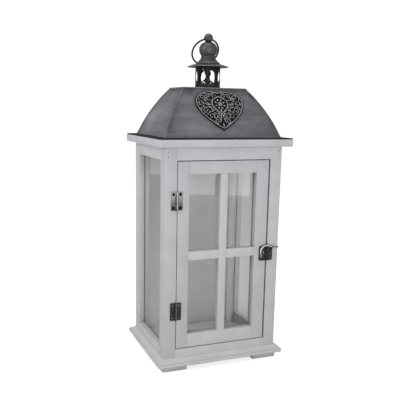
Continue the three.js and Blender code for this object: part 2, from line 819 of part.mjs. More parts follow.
function addHeart() {
  const rim = heartShape(0);
  rim.holes.push(heartShape(heartRim));
  const drop = new THREE.Shape();
  const dropMiddle = heartHeight * dropHeight;
  drop.moveTo(0, heartHeight * 0.37);
  drop.bezierCurveTo(6, heartHeight * 0.45, dropRadius, dropMiddle - 7, dropRadius, dropMiddle);
  drop.bezierCurveTo(dropRadius, dropMiddle + 9, 5, dropMiddle + 13, 0, dropMiddle + 14);
  drop.bezierCurveTo(-5, dropMiddle + 13, -dropRadius, dropMiddle + 9, -dropRadius, dropMiddle);
  drop.bezierCurveTo(-dropRadius, dropMiddle - 7, -6, heartHeight * 0.45, 0, heartHeight * 0.37);

  const shapes = [rim, drop];
  const bar = (x0, z0, x1, z1) => {
    const along = new THREE.Vector2(x1 - x0, z1 - z0).normalize().multiplyScalar(heartBar / 2);
    shapes.push(outline([
      [x0 - along.y, z0 + along.x], [x0 + along.y, z0 - along.x],
      [x1 + along.y, z1 - along.x], [x1 - along.y, z1 + along.x],
    ]));
  };
  // Plain bars, each from one point to another as shares of half the width and of the height.
  const lattice = [[0, 0.05, 0, 0.42], [0, 0.12, 0.3, 0.32], [0, 0.3, 0.52, 0.5], [0.2, 0.5, 0.86, 0.5],
    [0.3, 0.62, 0.97, 0.7], [0.3, 0.76, 0.8, 0.9], [0.1, 0.84, 0.4, 0.96], [0.24, 0.28, 0.6, 0.44]];
  lattice.forEach(([x0, z0, x1, z1]) => {
    [-1, 1].forEach((side) => {
      const w = (side * heartWidth) / 2;
      bar(x0 * w, z0 * heartHeight, x1 * w, z1 * heartHeight);
    });
  });

  // The drawing is stood on the panel's chord and kept only where it lies on the bowed sheet.
  const lean = Math.atan2(roofInset, roofRise);
  const pieces = shapes.map((shape) => {
    const piece = prismY(shape, -30, 30, 10);
    piece.translate(0, 0, heartFoot);
    piece.rotateX(-lean);
    piece.translate(0, -footY, roofLow);
    return piece;
  });
  const sheet = toSolid(bowedSheet(footY, 0, fitGap, fitGap + heartThickness, heartWidth, 14));
  const drawing = pieces.map(toSolid).reduce((whole, piece) => whole.add(piece));
  addMesh('heart_ornament', toGeometry(drawing.intersect(sheet)), darkCasting);
}

addBase();
addFrame();
addGlazing();
addTopBoard();
addDoor();
addHinges();
addLatch();
addRoof();
addCupola();
addHeart();

export default lantern;
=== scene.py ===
"""Finishes for the candle lantern: painted wood, clear panes, zinc roof, cast trim and steel fittings."""

import json
import math

import bmesh
import bpy
from mathutils import Matrix, Vector

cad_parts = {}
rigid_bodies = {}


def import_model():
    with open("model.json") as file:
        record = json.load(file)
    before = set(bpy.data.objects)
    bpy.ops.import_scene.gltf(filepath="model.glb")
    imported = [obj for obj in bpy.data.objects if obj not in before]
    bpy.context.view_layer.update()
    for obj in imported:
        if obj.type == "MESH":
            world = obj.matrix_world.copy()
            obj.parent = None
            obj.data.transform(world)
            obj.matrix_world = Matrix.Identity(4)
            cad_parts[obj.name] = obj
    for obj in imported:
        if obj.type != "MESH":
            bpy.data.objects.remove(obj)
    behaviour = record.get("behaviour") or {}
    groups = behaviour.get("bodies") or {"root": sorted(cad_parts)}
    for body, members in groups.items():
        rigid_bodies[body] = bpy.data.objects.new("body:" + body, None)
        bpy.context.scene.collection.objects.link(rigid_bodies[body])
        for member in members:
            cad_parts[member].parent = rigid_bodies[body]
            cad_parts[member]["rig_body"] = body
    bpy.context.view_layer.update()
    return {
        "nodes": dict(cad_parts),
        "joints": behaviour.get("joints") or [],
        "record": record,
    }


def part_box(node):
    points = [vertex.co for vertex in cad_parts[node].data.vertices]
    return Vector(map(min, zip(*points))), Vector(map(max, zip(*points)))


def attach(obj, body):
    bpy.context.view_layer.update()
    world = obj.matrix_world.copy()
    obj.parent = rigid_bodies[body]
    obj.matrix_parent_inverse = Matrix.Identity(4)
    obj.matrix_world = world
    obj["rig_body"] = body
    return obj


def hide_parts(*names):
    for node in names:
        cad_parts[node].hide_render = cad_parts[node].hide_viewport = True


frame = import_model()

MM = 0.001
TURN = 2 * math.pi

# ------------------------------------------------------------------ sizes worked out from the frame

case_low, case_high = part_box("post_front_left")[0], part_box("post_back_right")[1]
board_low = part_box("top_board")[0]
plinth_low, plinth_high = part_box("base_board")
cap_low, cap_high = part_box("roof_cap")
sheet_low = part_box("roof_panel_front")[0]
gallery_low, gallery_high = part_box("cupola_gallery")
brim_low, brim_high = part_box("cupola_brim")
finial_low, finial_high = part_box("finial")
ring_low, ring_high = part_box("ring_handle")

# How far each roof sheet bows out, how far the cap overhangs it, and how thick the sheet is.
ROOF_BOW = 4.1 * MM
CAP_OVERHANG = 1.2 * MM
SHEET = 1.0 * MM


# ------------------------------------------------------------------ shader building blocks

def add_node(tree, kind, settings=None, inputs=None):
    """A node of this kind, with its settings, and each input linked or set."""
    node = tree.nodes.new(kind)
    for name, value in (settings or {}).items():
        setattr(node, name, value)
    for name, value in (inputs or {}).items():
        if isinstance(value, bpy.types.NodeSocket):
            tree.links.new(value, node.inputs[name])
        else:
            node.inputs[name].default_value = value
    return node


def new_finish(name, **values):
    """A material with one principled shader, whose plain values are set on its own sockets."""
    material = bpy.data.materials.new(name)
    material.use_nodes = True
    tree = material.node_tree
    tree.nodes.clear()
    shader = add_node(tree, "ShaderNodeBsdfPrincipled")
    for key, value in values.items():
        shader.inputs[key.replace("_", " ")].default_value = value
    output = add_node(tree, "ShaderNodeOutputMaterial")
    tree.links.new(shader.outputs["BSDF"], output.inputs["Surface"])
    return material, tree, shader


def object_pattern(tree, scale, shift=(0, 0, 0)):
    """Object coordinates, stretched and shifted."""
    place = add_node(tree, "ShaderNodeTexCoord")
    mapping = add_node(tree, "ShaderNodeMapping", {}, {
        "Vector": place.outputs["Object"], "Scale": scale, "Location": shift,
    })
    return mapping.outputs["Vector"]


def noise(tree, vector, scale, detail=3.0, rough=0.5, distortion=0.0):
    node = add_node(tree, "ShaderNodeTexNoise", {}, {
        "Vector": vector, "Scale": scale, "Detail": detail, "Roughness": rough, "Distortion": distortion,
    })
    return node.outputs["Fac"]


def spread(tree, value, low, high, to_low=0.0, to_high=1.0):
    """Stretches a value between two limits, and holds it there."""
    node = add_node(tree, "ShaderNodeMapRange", {"clamp": True}, {
        "Value": value, "From Min": low, "From Max": high, "To Min": to_low, "To Max": to_high,
    })
    return node.outputs["Result"]


def maths(tree, operation, first, second=0.5, clamp=False):
    settings = {"operation": operation, "use_clamp": clamp}
    return add_node(tree, "ShaderNodeMath", settings, {0: first, 1: second}).outputs["Value"]


def blend(tree, factor, first, second, mode="MIX"):
    """Colours mixed by a factor."""
    settings = {"data_type": "RGBA", "blend_type": mode, "clamp_factor": True}
    node = add_node(tree, "ShaderNodeMix", settings)
    for index, value in ((0, factor), (6, first), (7, second)):
        if isinstance(value, bpy.types.NodeSocket):
            tree.links.new(value, node.inputs[index])
        else:
            node.inputs[index].default_value = value
    return node.outputs[2]


def grey(level, tint=(1.0, 1.0, 1.0)):
    return (level * tint[0], level * tint[1], level * tint[2], 1.0)


def mark(tree, name):
    """A value that the mesh carries at its points."""
    return add_node(tree, "ShaderNodeAttribute", {"attribute_name": name}).outputs["Fac"]


def raise_surface(tree, shader, height, distance, strength=1.0):
    inputs = {"Height": height, "Distance": distance, "Strength": strength}
    bump = add_node(tree, "ShaderNodeBump", {}, inputs)
    tree.links.new(bump.outputs["Normal"], shader.inputs["Normal"])


def crevice(tree, reach):
    """1 in the open and 0 deep in a corner."""
    node = add_node(tree, "ShaderNodeAmbientOcclusion", {"samples": 6}, {"Distance": reach})
    return node.outputs["AO"]


# ------------------------------------------------------------------ finishes

# Tints that multiply a grey level.
COOL = (0.975, 0.985, 1.04)
MILK = (0.985, 0.99, 1.01)


def white_paint(along):
    """Brushed white paint whose strokes run along one axis, with dust and painted shade in its corners and
    painted shade in its seams.

    The marks at each board's points paint light and shade: brighter and cooler at the top, darker and warmer
    towards the feet, and darker over some whole boards.
    """
    stretch = [1.0, 1.0, 1.0]
    stretch[along] = 0.045
    name = f"white_paint_{'xyz'[along]}"
    material, tree, shader = new_finish(name, Roughness=0.5, Specular_IOR_Level=0.35)
    strokes = noise(tree, object_pattern(tree, stretch), 620, 4, 0.6)
    broad = noise(tree, object_pattern(tree, (1, 1, 1), (3.1, 0.4, 1.7)), 34, 3, 0.55)
    patches = blend(tree, spread(tree, broad, 0.3, 0.7), grey(0.67, MILK), grey(0.73, MILK))
    stroked = blend(tree, spread(tree, strokes, 0.3, 0.75), grey(0.95), grey(1.0))
    paint = blend(tree, 1.0, patches, stroked, "MULTIPLY")
    # Painted light: brighter and cooler at the top, darker and warmer towards the feet.
    lit_by_height = blend(tree, mark(tree, "painted_foot_shade"), (1.06, 1.06, 1.09, 1.0), (0.955, 0.935, 0.895, 1.0))
    # Painted shade: some whole boards are painted darker.
    board = blend(tree, mark(tree, "painted_board_shade"), blend(tree, 1.0, paint, lit_by_height, "MULTIPLY"), grey(0.0))
    # Painted shade with some dust: darker in corners and recesses and under overhangs.
    corner_depth = maths(tree, "SUBTRACT", 1.0, crevice(tree, 9 * MM))
    dust_and_corner_shade = maths(tree, "MULTIPLY", spread(tree, corner_depth, 0.3, 0.95), 0.6)
    dusted_and_shaded = blend(tree, dust_and_corner_shade, board, (0.27, 0.265, 0.25, 1.0))
    # Painted shade: thin dark lines in the seams and gaps between parts.
    seam_depth = maths(tree, "SUBTRACT", 1.0, crevice(tree, 2.2 * MM))
    seam_shade = maths(tree, "MULTIPLY", spread(tree, seam_depth, 0.35, 0.8), 0.5)
    seam_shaded = blend(tree, seam_shade, dusted_and_shaded, (0.12, 0.118, 0.11, 1.0))
    tree.links.new(seam_shaded, shader.inputs["Base Color"])
    tree.links.new(spread(tree, strokes, 0.2, 0.8, 0.4, 0.6), shader.inputs["Roughness"])
    fine = maths(tree, "ADD", strokes, maths(tree, "MULTIPLY", broad, 1.5))
    raise_surface(tree, shader, fine, 0.14 * MM, 0.7)
    return material


def clear_pane():
    """Clear glass that lets the lamps' light through to the inside."""
    material, tree, shader = new_finish(
        "clear_pane", Base_Color=(0.95, 0.97, 0.945, 1.0), Roughness=0.0, IOR=1.45,
        Transmission_Weight=1.0,
    )
    path = add_node(tree, "ShaderNodeLightPath")
    open_way = add_node(tree, "ShaderNodeBsdfTransparent", {}, {"Color": (1.0, 1.0, 1.0, 1.0)})
    mixed = add_node(tree, "ShaderNodeMixShader", {}, {0: path.outputs["Is Shadow Ray"]})
    tree.links.new(shader.outputs["BSDF"], mixed.inputs[1])
    tree.links.new(open_way.outputs["BSDF"], mixed.inputs[2])
    output = next(node for node in tree.nodes if node.type == "OUTPUT_MATERIAL")
    tree.links.new(mixed.outputs["Shader"], output.inputs["Surface"])
    return material


def zinc(along):
    """Antiqued sheet with broad brushed streaks along one axis.

    The marks at its points darken it with antique patina near a hip, the top and the foot and with painted
    shadow round the heart's rim, and brighten a fold with wear and a painted highlight.
    """
    stretch = [1.0, 1.0, 1.0]
    stretch[along] = 0.13
    material, tree, shader = new_finish(f"zinc_{'xyz'[along]}", Metallic=0.55, Specular_IOR_Level=0.5)
    bands = noise(tree, object_pattern(tree, stretch), 62, 4, 0.6, 0.35)
    wide = noise(tree, object_pattern(tree, stretch, (0.4, 0.9, 0.3)), 24, 2, 0.5, 0.6)
    fine_stretch = [0.02 if axis == along else 1.0 for axis in range(3)]
    hairs = noise(tree, object_pattern(tree, fine_stretch), 900, 3, 0.6)
    cloud = noise(tree, object_pattern(tree, (1, 1, 1), (0.7, 2.1, 0.2)), 17, 4, 0.6)
    blot = noise(tree, object_pattern(tree, (1, 1, 1), (1.7, 0.1, 0.6)), 48, 5, 0.65, 0.8)
    base = blend(tree, spread(tree, bands, 0.32, 0.7), grey(0.15, COOL), grey(0.3, COOL))
    widened = blend(tree, spread(tree, wide, 0.35, 0.65), grey(0.72), grey(1.18))
    clouded = blend(tree, spread(tree, cloud, 0.35, 0.65), grey(0.8), grey(1.12))
    streaked = blend(tree, 1.0, blend(tree, 1.0, base, widened, "MULTIPLY"), clouded, "MULTIPLY")
    bright_hairs = maths(tree, "MULTIPLY", spread(tree, hairs, 0.35, 0.7), 0.35)
    haired = blend(tree, bright_hairs, streaked, grey(0.36, COOL))
    # Patina near the hips, the top and the foot, and painted shadow round the heart's rim.
    shade = maths(tree, "MULTIPLY", mark(tree, "patina_and_shadow"), spread(tree, blot, 0.35, 0.62, 0.35, 1.0))
    patina_and_shadow = blend(tree, maths(tree, "MULTIPLY", shade, 0.85), haired, grey(0.035, COOL))
    stains = maths(tree, "MULTIPLY", spread(tree, blot, 0.58, 0.75), 0.45)
    stained = blend(tree, stains, patina_and_shadow, grey(0.06, COOL))
    wear_and_sheen = maths(tree, "MULTIPLY", mark(tree, "rubbed"), spread(tree, blot, 0.35, 0.6, 1.0, 0.2))
    rubbed = blend(tree, maths(tree, "MULTIPLY", wear_and_sheen, 0.7), stained, grey(0.42, COOL))
    tree.links.new(rubbed, shader.inputs["Base Color"])
    tree.links.new(spread(tree, bands, 0.3, 0.7, 0.52, 0.38), shader.inputs["Roughness"])
    raise_surface(tree, shader, maths(tree, "ADD", hairs, bands), 0.12 * MM, 0.5)
    return material


def black_sheet():
    """Matt black sheet, a little cloudy."""
    material, tree, shader = new_finish("black_sheet", Metallic=0.0, Specular_IOR_Level=0.15)
    cloud = noise(tree, object_pattern(tree, (1, 1, 1)), 60, 4)
    tree.links.new(blend(tree, cloud, grey(0.012), grey(0.045, COOL)), shader.inputs["Base Color"])
    tree.links.new(spread(tree, cloud, 0.3, 0.7, 0.65, 0.85), shader.inputs["Roughness"])
    raise_surface(tree, shader, noise(tree, object_pattern(tree, (1, 1, 1)), 900), 0.06 * MM)
    return material


def casting(name, dark, light, wear_and_sheen):
    """Grey cast metal with a grainy skin, black in its corners and bright where its points are marked with
    wear and a painted highlight.
    """
    material, tree, shader = new_finish(name, Metallic=0.65, Specular_IOR_Level=0.5)
    grain = noise(tree, object_pattern(tree, (1, 1, 1)), 1500, 3, 0.6)
    cloud = noise(tree, object_pattern(tree, (1, 1, 1)), 130, 4, 0.6)
    skin = blend(tree, spread(tree, cloud, 0.3, 0.7), grey(dark, COOL), grey(light, COOL))
    proud = maths(tree, "MULTIPLY", mark(tree, "rubbed"), spread(tree, cloud, 0.3, 0.6, 0.55, 1.0))
    bright = blend(tree, proud, skin, grey(wear_and_sheen, COOL))
    depth = spread(tree, crevice(tree, 4 * MM), 0.25, 0.8)
    deep = blend(tree, depth, grey(0.01), bright)
    tree.links.new(deep, shader.inputs["Base Color"])
    tree.links.new(spread(tree, cloud, 0.3, 0.7, 0.52, 0.36), shader.inputs["Roughness"])
    raise_surface(tree, shader, maths(tree, "ADD", grain, cloud), 0.12 * MM, 0.6)
    return material


def steel(name, dark, light, rough, fade=None, wear_and_sheen=0.6):
    """Satin steel, brighter where its points are marked with wear and a painted highlight.

    `fade` is (low, high): painted shade keeps the steel dark up to the first height, and it has its full tone
    above the second.
    """
    material, tree, shader = new_finish(name, Metallic=0.85)
    cloud = noise(tree, object_pattern(tree, (1, 1, 1)), 260, 4, 0.6)
    brushed = noise(tree, object_pattern(tree, (1, 1, 0.06)), 2600, 2)
    tone = blend(tree, spread(tree, cloud, 0.35, 0.68), grey(dark, (1.03, 1.0, 0.95)), grey(light))
    if fade:
        place = add_node(tree, "ShaderNodeTexCoord").outputs["Object"]
        height = add_node(tree, "ShaderNodeSeparateXYZ", {}, {"Vector": place}).outputs["Z"]
        tone = blend(tree, spread(tree, height, *fade), grey(0.3 * dark), tone)
    edge = blend(tree, mark(tree, "rubbed"), tone, grey(wear_and_sheen, (1.02, 1.0, 0.97)))
    tree.links.new(edge, shader.inputs["Base Color"])
    tree.links.new(spread(tree, cloud, 0.3, 0.7, rough + 0.12, rough - 0.06), shader.inputs["Roughness"])
    raise_surface(tree, shader, maths(tree, "ADD", brushed, cloud), 0.05 * MM, 0.6)
    return material


PAINT = [white_paint(axis) for axis in range(3)]
GLASS = clear_pane()
ZINC = [zinc(axis) for axis in range(2)]
BLACK = black_sheet()
CAST = casting("dark_casting", 0.055, 0.115, 0.26)
HEART_CAST = casting("heart_casting", 0.07, 0.15, 0.72)
# Near black: black patina behind the openwork, and painted shadow along the heart's outer rim.
HEART_BLACK_AND_SHADOW = casting("heart_black_and_rim_shadow", 0.006, 0.014, 0.02)
STEEL = steel("aged_steel", 0.17, 0.3, 0.32)
upper_low, upper_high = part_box("upper_hinge_frame_leaf")
# Painted light and shade on one steel: the upper hinge is darker towards its foot, the lower one dark all
# over.
HINGE_STEEL = {
    "upper": steel("hinge_steel_shaded_foot", 0.24, 0.42, 0.36, (upper_low.z, upper_high.z - 7 * MM), 0.6),
    "lower": steel("hinge_steel_painted_shade", 0.035, 0.07, 0.4, wear_and_sheen=0.2),
}
# Near-black nail heads: painted shade for deep nail holes.
NAIL_HOLE_SHADE = steel("nail_hole_shade", 0.006, 0.012, 0.45)
# Nearly black, with a painted highlight where its points are marked bright.
FORGED_STEEL = steel("forged_steel", 0.03, 0.07, 0.24, wear_and_sheen=0.85)
DARK_STEEL = steel("blackened_steel", 0.03, 0.08, 0.32)
DRUM_CAST = casting("drum_casting", 0.012, 0.035, 0.12)
BRIGHT_STEEL = steel("bright_steel", 0.45, 0.75, 0.2)


# ------------------------------------------------------------------ mesh building blocks

def finish_piece(piece, body, nodes=()):
    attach(piece, body)
    if nodes:
        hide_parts(*nodes)
    return piece


def link_piece(name, mesh, materials):
    piece = bpy.data.objects.new(name, mesh)
    bpy.context.scene.collection.objects.link(piece)
    for material in materials:
        mesh.materials.append(material)
    return piece


def mesh_piece(name, points, faces, materials, sharp=35, marks=None, face_slots=None):
    """A closed mesh, its faces turned outwards, smooth up to the sharp angle."""
    mesh = bpy.data.meshes.new(name)
    mesh.from_pydata([tuple(p) for p in points], [], faces)
    for label, values in (marks or {}).items():
        mesh.attributes.new(label, "FLOAT", "POINT").data.foreach_set("value", values)
    if face_slots:
        mesh.polygons.foreach_set("material_index", face_slots)
    tidy_mesh(mesh, sharp)
    return link_piece(name, mesh, materials)


def tidy_mesh(mesh, sharp=35, merge=1e-6):
    shape = bmesh.new()
    shape.from_mesh(mesh)
    bmesh.ops.remove_doubles(shape, verts=shape.verts, dist=merge)
    bmesh.ops.recalc_face_normals(shape, faces=shape.faces)
    shape.to_mesh(mesh)
    shape.free()
    mesh.shade_smooth()
    mesh.set_sharp_from_angle(angle=math.radians(sharp))


class Build:
    """Points and faces of one piece, gathered from several shapes."""

    def __init__(self):
        self.points, self.faces, self.rubbed, self.slots = [], [], [], []

    def add(self, points, faces, rubbed=None, slot=0):
        start = len(self.points)
        self.points += [Vector(p) for p in points]
        self.faces += [[start + k for k in face] for face in faces]
        self.rubbed += rubbed or [0.0] * len(points)
        self.slots += [slot] * len(faces)

    def make(self, name, materials, sharp=35):
        marks = {"rubbed": self.rubbed}
        return mesh_piece(name, self.points, self.faces, materials, sharp, marks, self.slots)


def ring_faces(rings, count, closed=False):
    """Quads between successive rings of points, with flat ends unless it closes on itself."""
    faces = []
    last = rings if closed else rings - 1
    for i in range(last):
        for k in range(count):
            here, there = i * count, ((i + 1) % rings) * count
            n = (k + 1) % count
            faces.append([here + k, here + n, there + n, there + k])
    if not closed:
        faces.append(list(range(count))[::-1])
        faces.append([(rings - 1) * count + k for k in range(count)])
    return faces


def tube(build, path, radius, up=None, sides=8, closed=False, flat=1.0, slot=0, taper=None):
    """A wire along a path.

    `flat` squashes it along `up`, and `taper` scales its radius at each share of its length.
    """
    count = len(path)
    points, rubbed = [], []
    for i, at in enumerate(path):
        before = path[(i - 1) % count] if closed or i > 0 else at
        after = path[(i + 1) % count] if closed or i < count - 1 else at
        along = (Vector(after) - Vector(before)).normalized()
        rise = Vector(up[i] if isinstance(up, list) else up or (0, 0, 1))
        across = along.cross(rise).normalized()
        rise = across.cross(along).normalized()
        r = radius * (taper(i / (count - 1)) if taper else 1.0)
        for k in range(sides):
            angle = TURN * (k + 0.5) / sides
            outward = across * (r * math.cos(angle)) + rise * (r * flat * math.sin(angle))
            points.append(Vector(at) + outward)
            # The side facing `up` is marked with wear and a painted highlight.
            rubbed.append(max(0.0, math.sin(angle)) ** 2)
    build.add(points, ring_faces(count, sides, closed), rubbed, slot)


def ellipsoid(build, centre, axes, slot=0, around=12, rows=7, rub=None):
    """A ball with three half-axes given as vectors; its last argument sets the wear and painted highlight on
    its crown, along the third.
    """
    points, rubbed = [], []
    for i in range(1, rows):
        lift = math.pi * (i / rows - 0.5)
        for k in range(around):
            angle = TURN * k / around
            unit = (math.cos(lift) * math.cos(angle), math.cos(lift) * math.sin(angle), math.sin(lift))
            points.append(Vector(centre) + sum((axes[n] * unit[n] for n in range(3)), Vector()))
            rubbed.append(max(0.0, unit[2]) ** 1.5 if rub is None else rub * max(0.0, unit[2]))
    points.append(Vector(centre) - axes[2])
    points.append(Vector(centre) + axes[2])
    rubbed += [0.0, 1.0]
    faces = ring_faces(rows - 1, around)[:-2]
    bottom, top = len(points) - 2, len(points) - 1
    last = (rows - 2) * around
    for k in range(around):
        n = (k + 1) % around
        faces.append([bottom, n, k])
        faces.append([top, last + k, last + n])
    build.add(points, faces, rubbed, slot)


def lathe(build, profile, centre=(0, 0, 0), around=64, slot=0, wear_and_sheen=None):
    """A closed profile of (radius, height) points turned about the vertical through `centre`."""
    points, rubbed = [], []
    for index, (radius, height) in enumerate(profile):
        for k in range(around):
            angle = TURN * k / around
            turned = Vector((radius * math.cos(angle), radius * math.sin(angle), height))
            points.append(Vector(centre) + turned)
            rubbed.append(wear_and_sheen[index] if wear_and_sheen else 0.0)
    build.add(points, ring_faces(len(profile), around, closed=False), rubbed, slot)


def rounded_rectangle(half_x, half_y, radius, height, steps=4):
    """Points round a level rectangle with rounded corners."""
    points = []
    corners = ((half_x, half_y, 0), (-half_x, half_y, 1), (-half_x, -half_y, 2), (half_x, -half_y, 3))
    for x, y, quarter in corners:
        centre_x, centre_y = x - math.copysign(radius, x), y - math.copysign(radius, y)
        for i in range(steps + 1):
            angle = TURN / 4 * (quarter + i / steps)
            x_round, y_round = radius * math.cos(angle), radius * math.sin(angle)
            points.append((centre_x + x_round, centre_y + y_round, height))
    return points


def write_marks(piece, marks):
    """Values kept at a piece's points: each mark has a name and a rule that gives its value."""
    for name, rule in marks.items():
        values = [rule(vertex.co) for vertex in piece.data.vertices]
        piece.data.attributes.new(name, "FLOAT", "POINT").data.foreach_set("value", values)


def softened(node, material, width=0.7 * MM, steps=3, marks=None):
    """A CAD piece with its edges eased, standing for the sharp one, with these marks on its points."""
    source = frame["nodes"][node]
    mesh = source.data.copy()
    mesh.materials.clear()
    mesh.name = f"{node}_eased"
    shape = bmesh.new()
    shape.from_mesh(mesh)
    bmesh.ops.remove_doubles(shape, verts=shape.verts, dist=2e-6)
    bmesh.ops.dissolve_limit(
        shape, angle_limit=math.radians(0.5), verts=shape.verts, edges=shape.edges,
    )
    shape.to_mesh(mesh)
    shape.free()
    for name in ("sharp_edge", "custom_normal"):
        if name in mesh.attributes:
            mesh.attributes.remove(mesh.attributes[name])
    piece = link_piece(f"{node}_eased", mesh, [material])
    bevel = piece.modifiers.new("eased", "BEVEL")
    bevel.width, bevel.segments, bevel.limit_method = width, steps, "ANGLE"
    bevel.angle_limit = math.radians(30)
    bevel.use_clamp_overlap = True
    bake_modifiers(piece)
    piece.data.shade_smooth()
    piece.data.set_sharp_from_angle(angle=math.radians(40))
    write_marks(piece, marks or {})
    return finish_piece(piece, source["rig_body"], [node])


def bake_modifiers(piece):
    """The shape that the modifiers give, kept as the piece's own mesh."""
    graph = bpy.context.evaluated_depsgraph_get()
    made = bpy.data.meshes.new_from_object(piece.evaluated_get(graph))
    piece.modifiers.clear()
    old = piece.data
    piece.data = made
    bpy.data.meshes.remove(old)


slot_of = {part["node"]: part["material_slot"] for part in frame["record"]["subparts"]}


# ------------------------------------------------------------------ camera, light and floor

def add_camera():
    """The camera stands to the left of the door, above the lantern's middle, looking slightly down."""
    scene = bpy.context.scene
    yaw, pitch, roll = math.radians(21.36), math.radians(10.84), math.radians(0.97)
    data = bpy.data.cameras.new("camera")
    data.lens = 53.07
    data.sensor_width = 36
    data.shift_x, data.shift_y = 0.0263, 0.0511
    camera = bpy.data.objects.new("camera", data)
    scene.collection.objects.link(camera)
    camera.location = (-0.4041, -0.9590, 0.4375)
    forward = Vector((math.sin(yaw) * math.cos(pitch), math.cos(yaw) * math.cos(pitch), -math.sin(pitch)))
    level = Vector((math.cos(yaw), -math.sin(yaw), 0))
    upright = level.cross(forward)
    right = level * math.cos(roll) + upright * math.sin(roll)
    up = upright * math.cos(roll) - level * math.sin(roll)
    camera.rotation_mode = "QUATERNION"
    camera.rotation_quaternion = Matrix((right, up, -forward)).transposed().to_quaternion()
    scene.camera = camera


def add_lamp(name, place, target, size, power, shape="DISK"):
    data = bpy.data.lights.new(name, "AREA")
    data.shape, data.size, data.energy = shape, size, power
    lamp = bpy.data.objects.new(name, data)
    bpy.context.scene.collection.objects.link(lamp)
    lamp.location = place
    lamp.rotation_mode = "QUATERNION"
    lamp.rotation_quaternion = (Vector(target) - Vector(place)).to_track_quat("-Z", "Y")


def add_studio():
    middle = (0, 0, 0.28)
    add_lamp("softbox_left", (-2.4, -0.6, 1.4), middle, 1.5, 15)
    add_lamp("softbox_front", (-0.5, -2.7, 0.6), middle, 1.4, 11)
    add_lamp("softbox_top", (-0.3, -0.2, 2.4), middle, 1.6, 15)
    add_lamp("reflected_card", (0.86, -1.9, 0.3), (0, 0, 0.3), 0.6, 2.9, "SQUARE")
    add_lamp("reflected_card_left", (-1.1, 2.7, 0.4), middle, 1.6, 3)

    world = bpy.data.worlds.new("studio")
    bpy.context.scene.world = world
    world.use_nodes = True
    tree = world.node_tree
    tree.nodes.clear()
    path = add_node(tree, "ShaderNodeLightPath")
    seen = add_node(tree, "ShaderNodeBackground", {}, {"Color": (1, 1, 1, 1), "Strength": 1.05})
    lit = add_node(tree, "ShaderNodeBackground", {}, {"Color": (0.94, 0.965, 1.0, 1), "Strength": 0.42})
    mixed = add_node(tree, "ShaderNodeMixShader", {}, {0: path.outputs["Is Camera Ray"]})
    tree.links.new(lit.outputs[0], mixed.inputs[1])
    tree.links.new(seen.outputs[0], mixed.inputs[2])
    output = add_node(tree, "ShaderNodeOutputWorld")
    tree.links.new(mixed.outputs[0], output.inputs["Surface"])

    half = 12.0
    mesh = bpy.data.meshes.new("floor")
    corners = [(-half, -half, 0), (half, -half, 0), (half, half, 0), (-half, half, 0)]
    mesh.from_pydata(corners, [], [(0, 1, 2, 3)])
    material, tree, shader = new_finish(
        "floor_paper", Base_Color=(0.79, 0.78, 0.745, 1), Roughness=0.9, Specular_IOR_Level=0.0,
        Emission_Color=(1, 1, 1, 1),
    )
    seen = add_node(tree, "ShaderNodeLightPath").outputs["Is Camera Ray"]
    tree.links.new(maths(tree, "MULTIPLY", seen, 0.72), shader.inputs["Emission Strength"])
    floor = link_piece("floor", mesh, [material])
    scene = bpy.context.scene
    scene.view_settings.view_transform = "Standard"
    scene.view_settings.look = "None"


# ------------------------------------------------------------------ painted wood

# Painted shade: how much darker than fresh paint each of these boards is painted.
BOARD_PAINTED_SHADE = {
    "door_hinge_stile": 0.09, "door_latch_stile": 0.09, "door_top_rail": 0.06, "top_board": 0.08,
    "post_front_left": 0.065, "post_front_right": 0.05,
}


def paint_marks(node):
    """Painted light and shade: brighter at the top and darker towards the feet, with painted shade on some
    whole boards; the back panel is painted darker towards its top.
    """
    if node == "back_panel":
        return {"painted_board_shade": lambda at: 0.14 * at.z / board_low.z, "painted_foot_shade": lambda at: 0.1}
    dull = BOARD_PAINTED_SHADE.get(node, 0.0)
    return {"painted_board_shade": lambda at: dull, "painted_foot_shade": lambda at: 1 - at.z / board_low.z}


def paint_wood():
    """Every wooden member, its brush strokes running its own long way."""
    moulded = {"base_board", *(f"base_cove_{side}" for side in ("front", "right", "back", "left"))}
    for node, slot in slot_of.items():
        if slot != "white_paint" or node in moulded:
            continue
        low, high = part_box(node)
        size = high - low
        along = max(range(3), key=lambda axis: size[axis])
        width = 1.6 * MM if node == "top_board" else 0.25 * MM
        softened(node, PAINT[along], min(width, 0.2 * min(size)), 3, paint_marks(node))


def plinth():
    """The base board, its edge rounded over the top and drawn back underneath."""
    build = Build()
    half_x, half_y = plinth_high.x, plinth_high.y
    low, high = plinth_low.z, plinth_high.z
    middle, half = (low + high) / 2, (high - low) / 2
    corner, levels = 3.5 * MM, 17
    rings = []
    for i in range(levels):
        angle = math.pi * (i / (levels - 1) - 0.5)
        drawn = (1 - math.cos(angle)) * (2.6 * MM if angle < 0 else 1.7 * MM)
        height = middle + half * math.sin(angle)
        rings += rounded_rectangle(half_x - drawn, half_y - drawn, corner, height)
    build.add(rings, ring_faces(levels, len(rings) // levels))
    piece = build.make("plinth_board", [PAINT[0]])
    write_marks(piece, paint_marks("base_board"))
    finish_piece(piece, "case", ["base_board"])


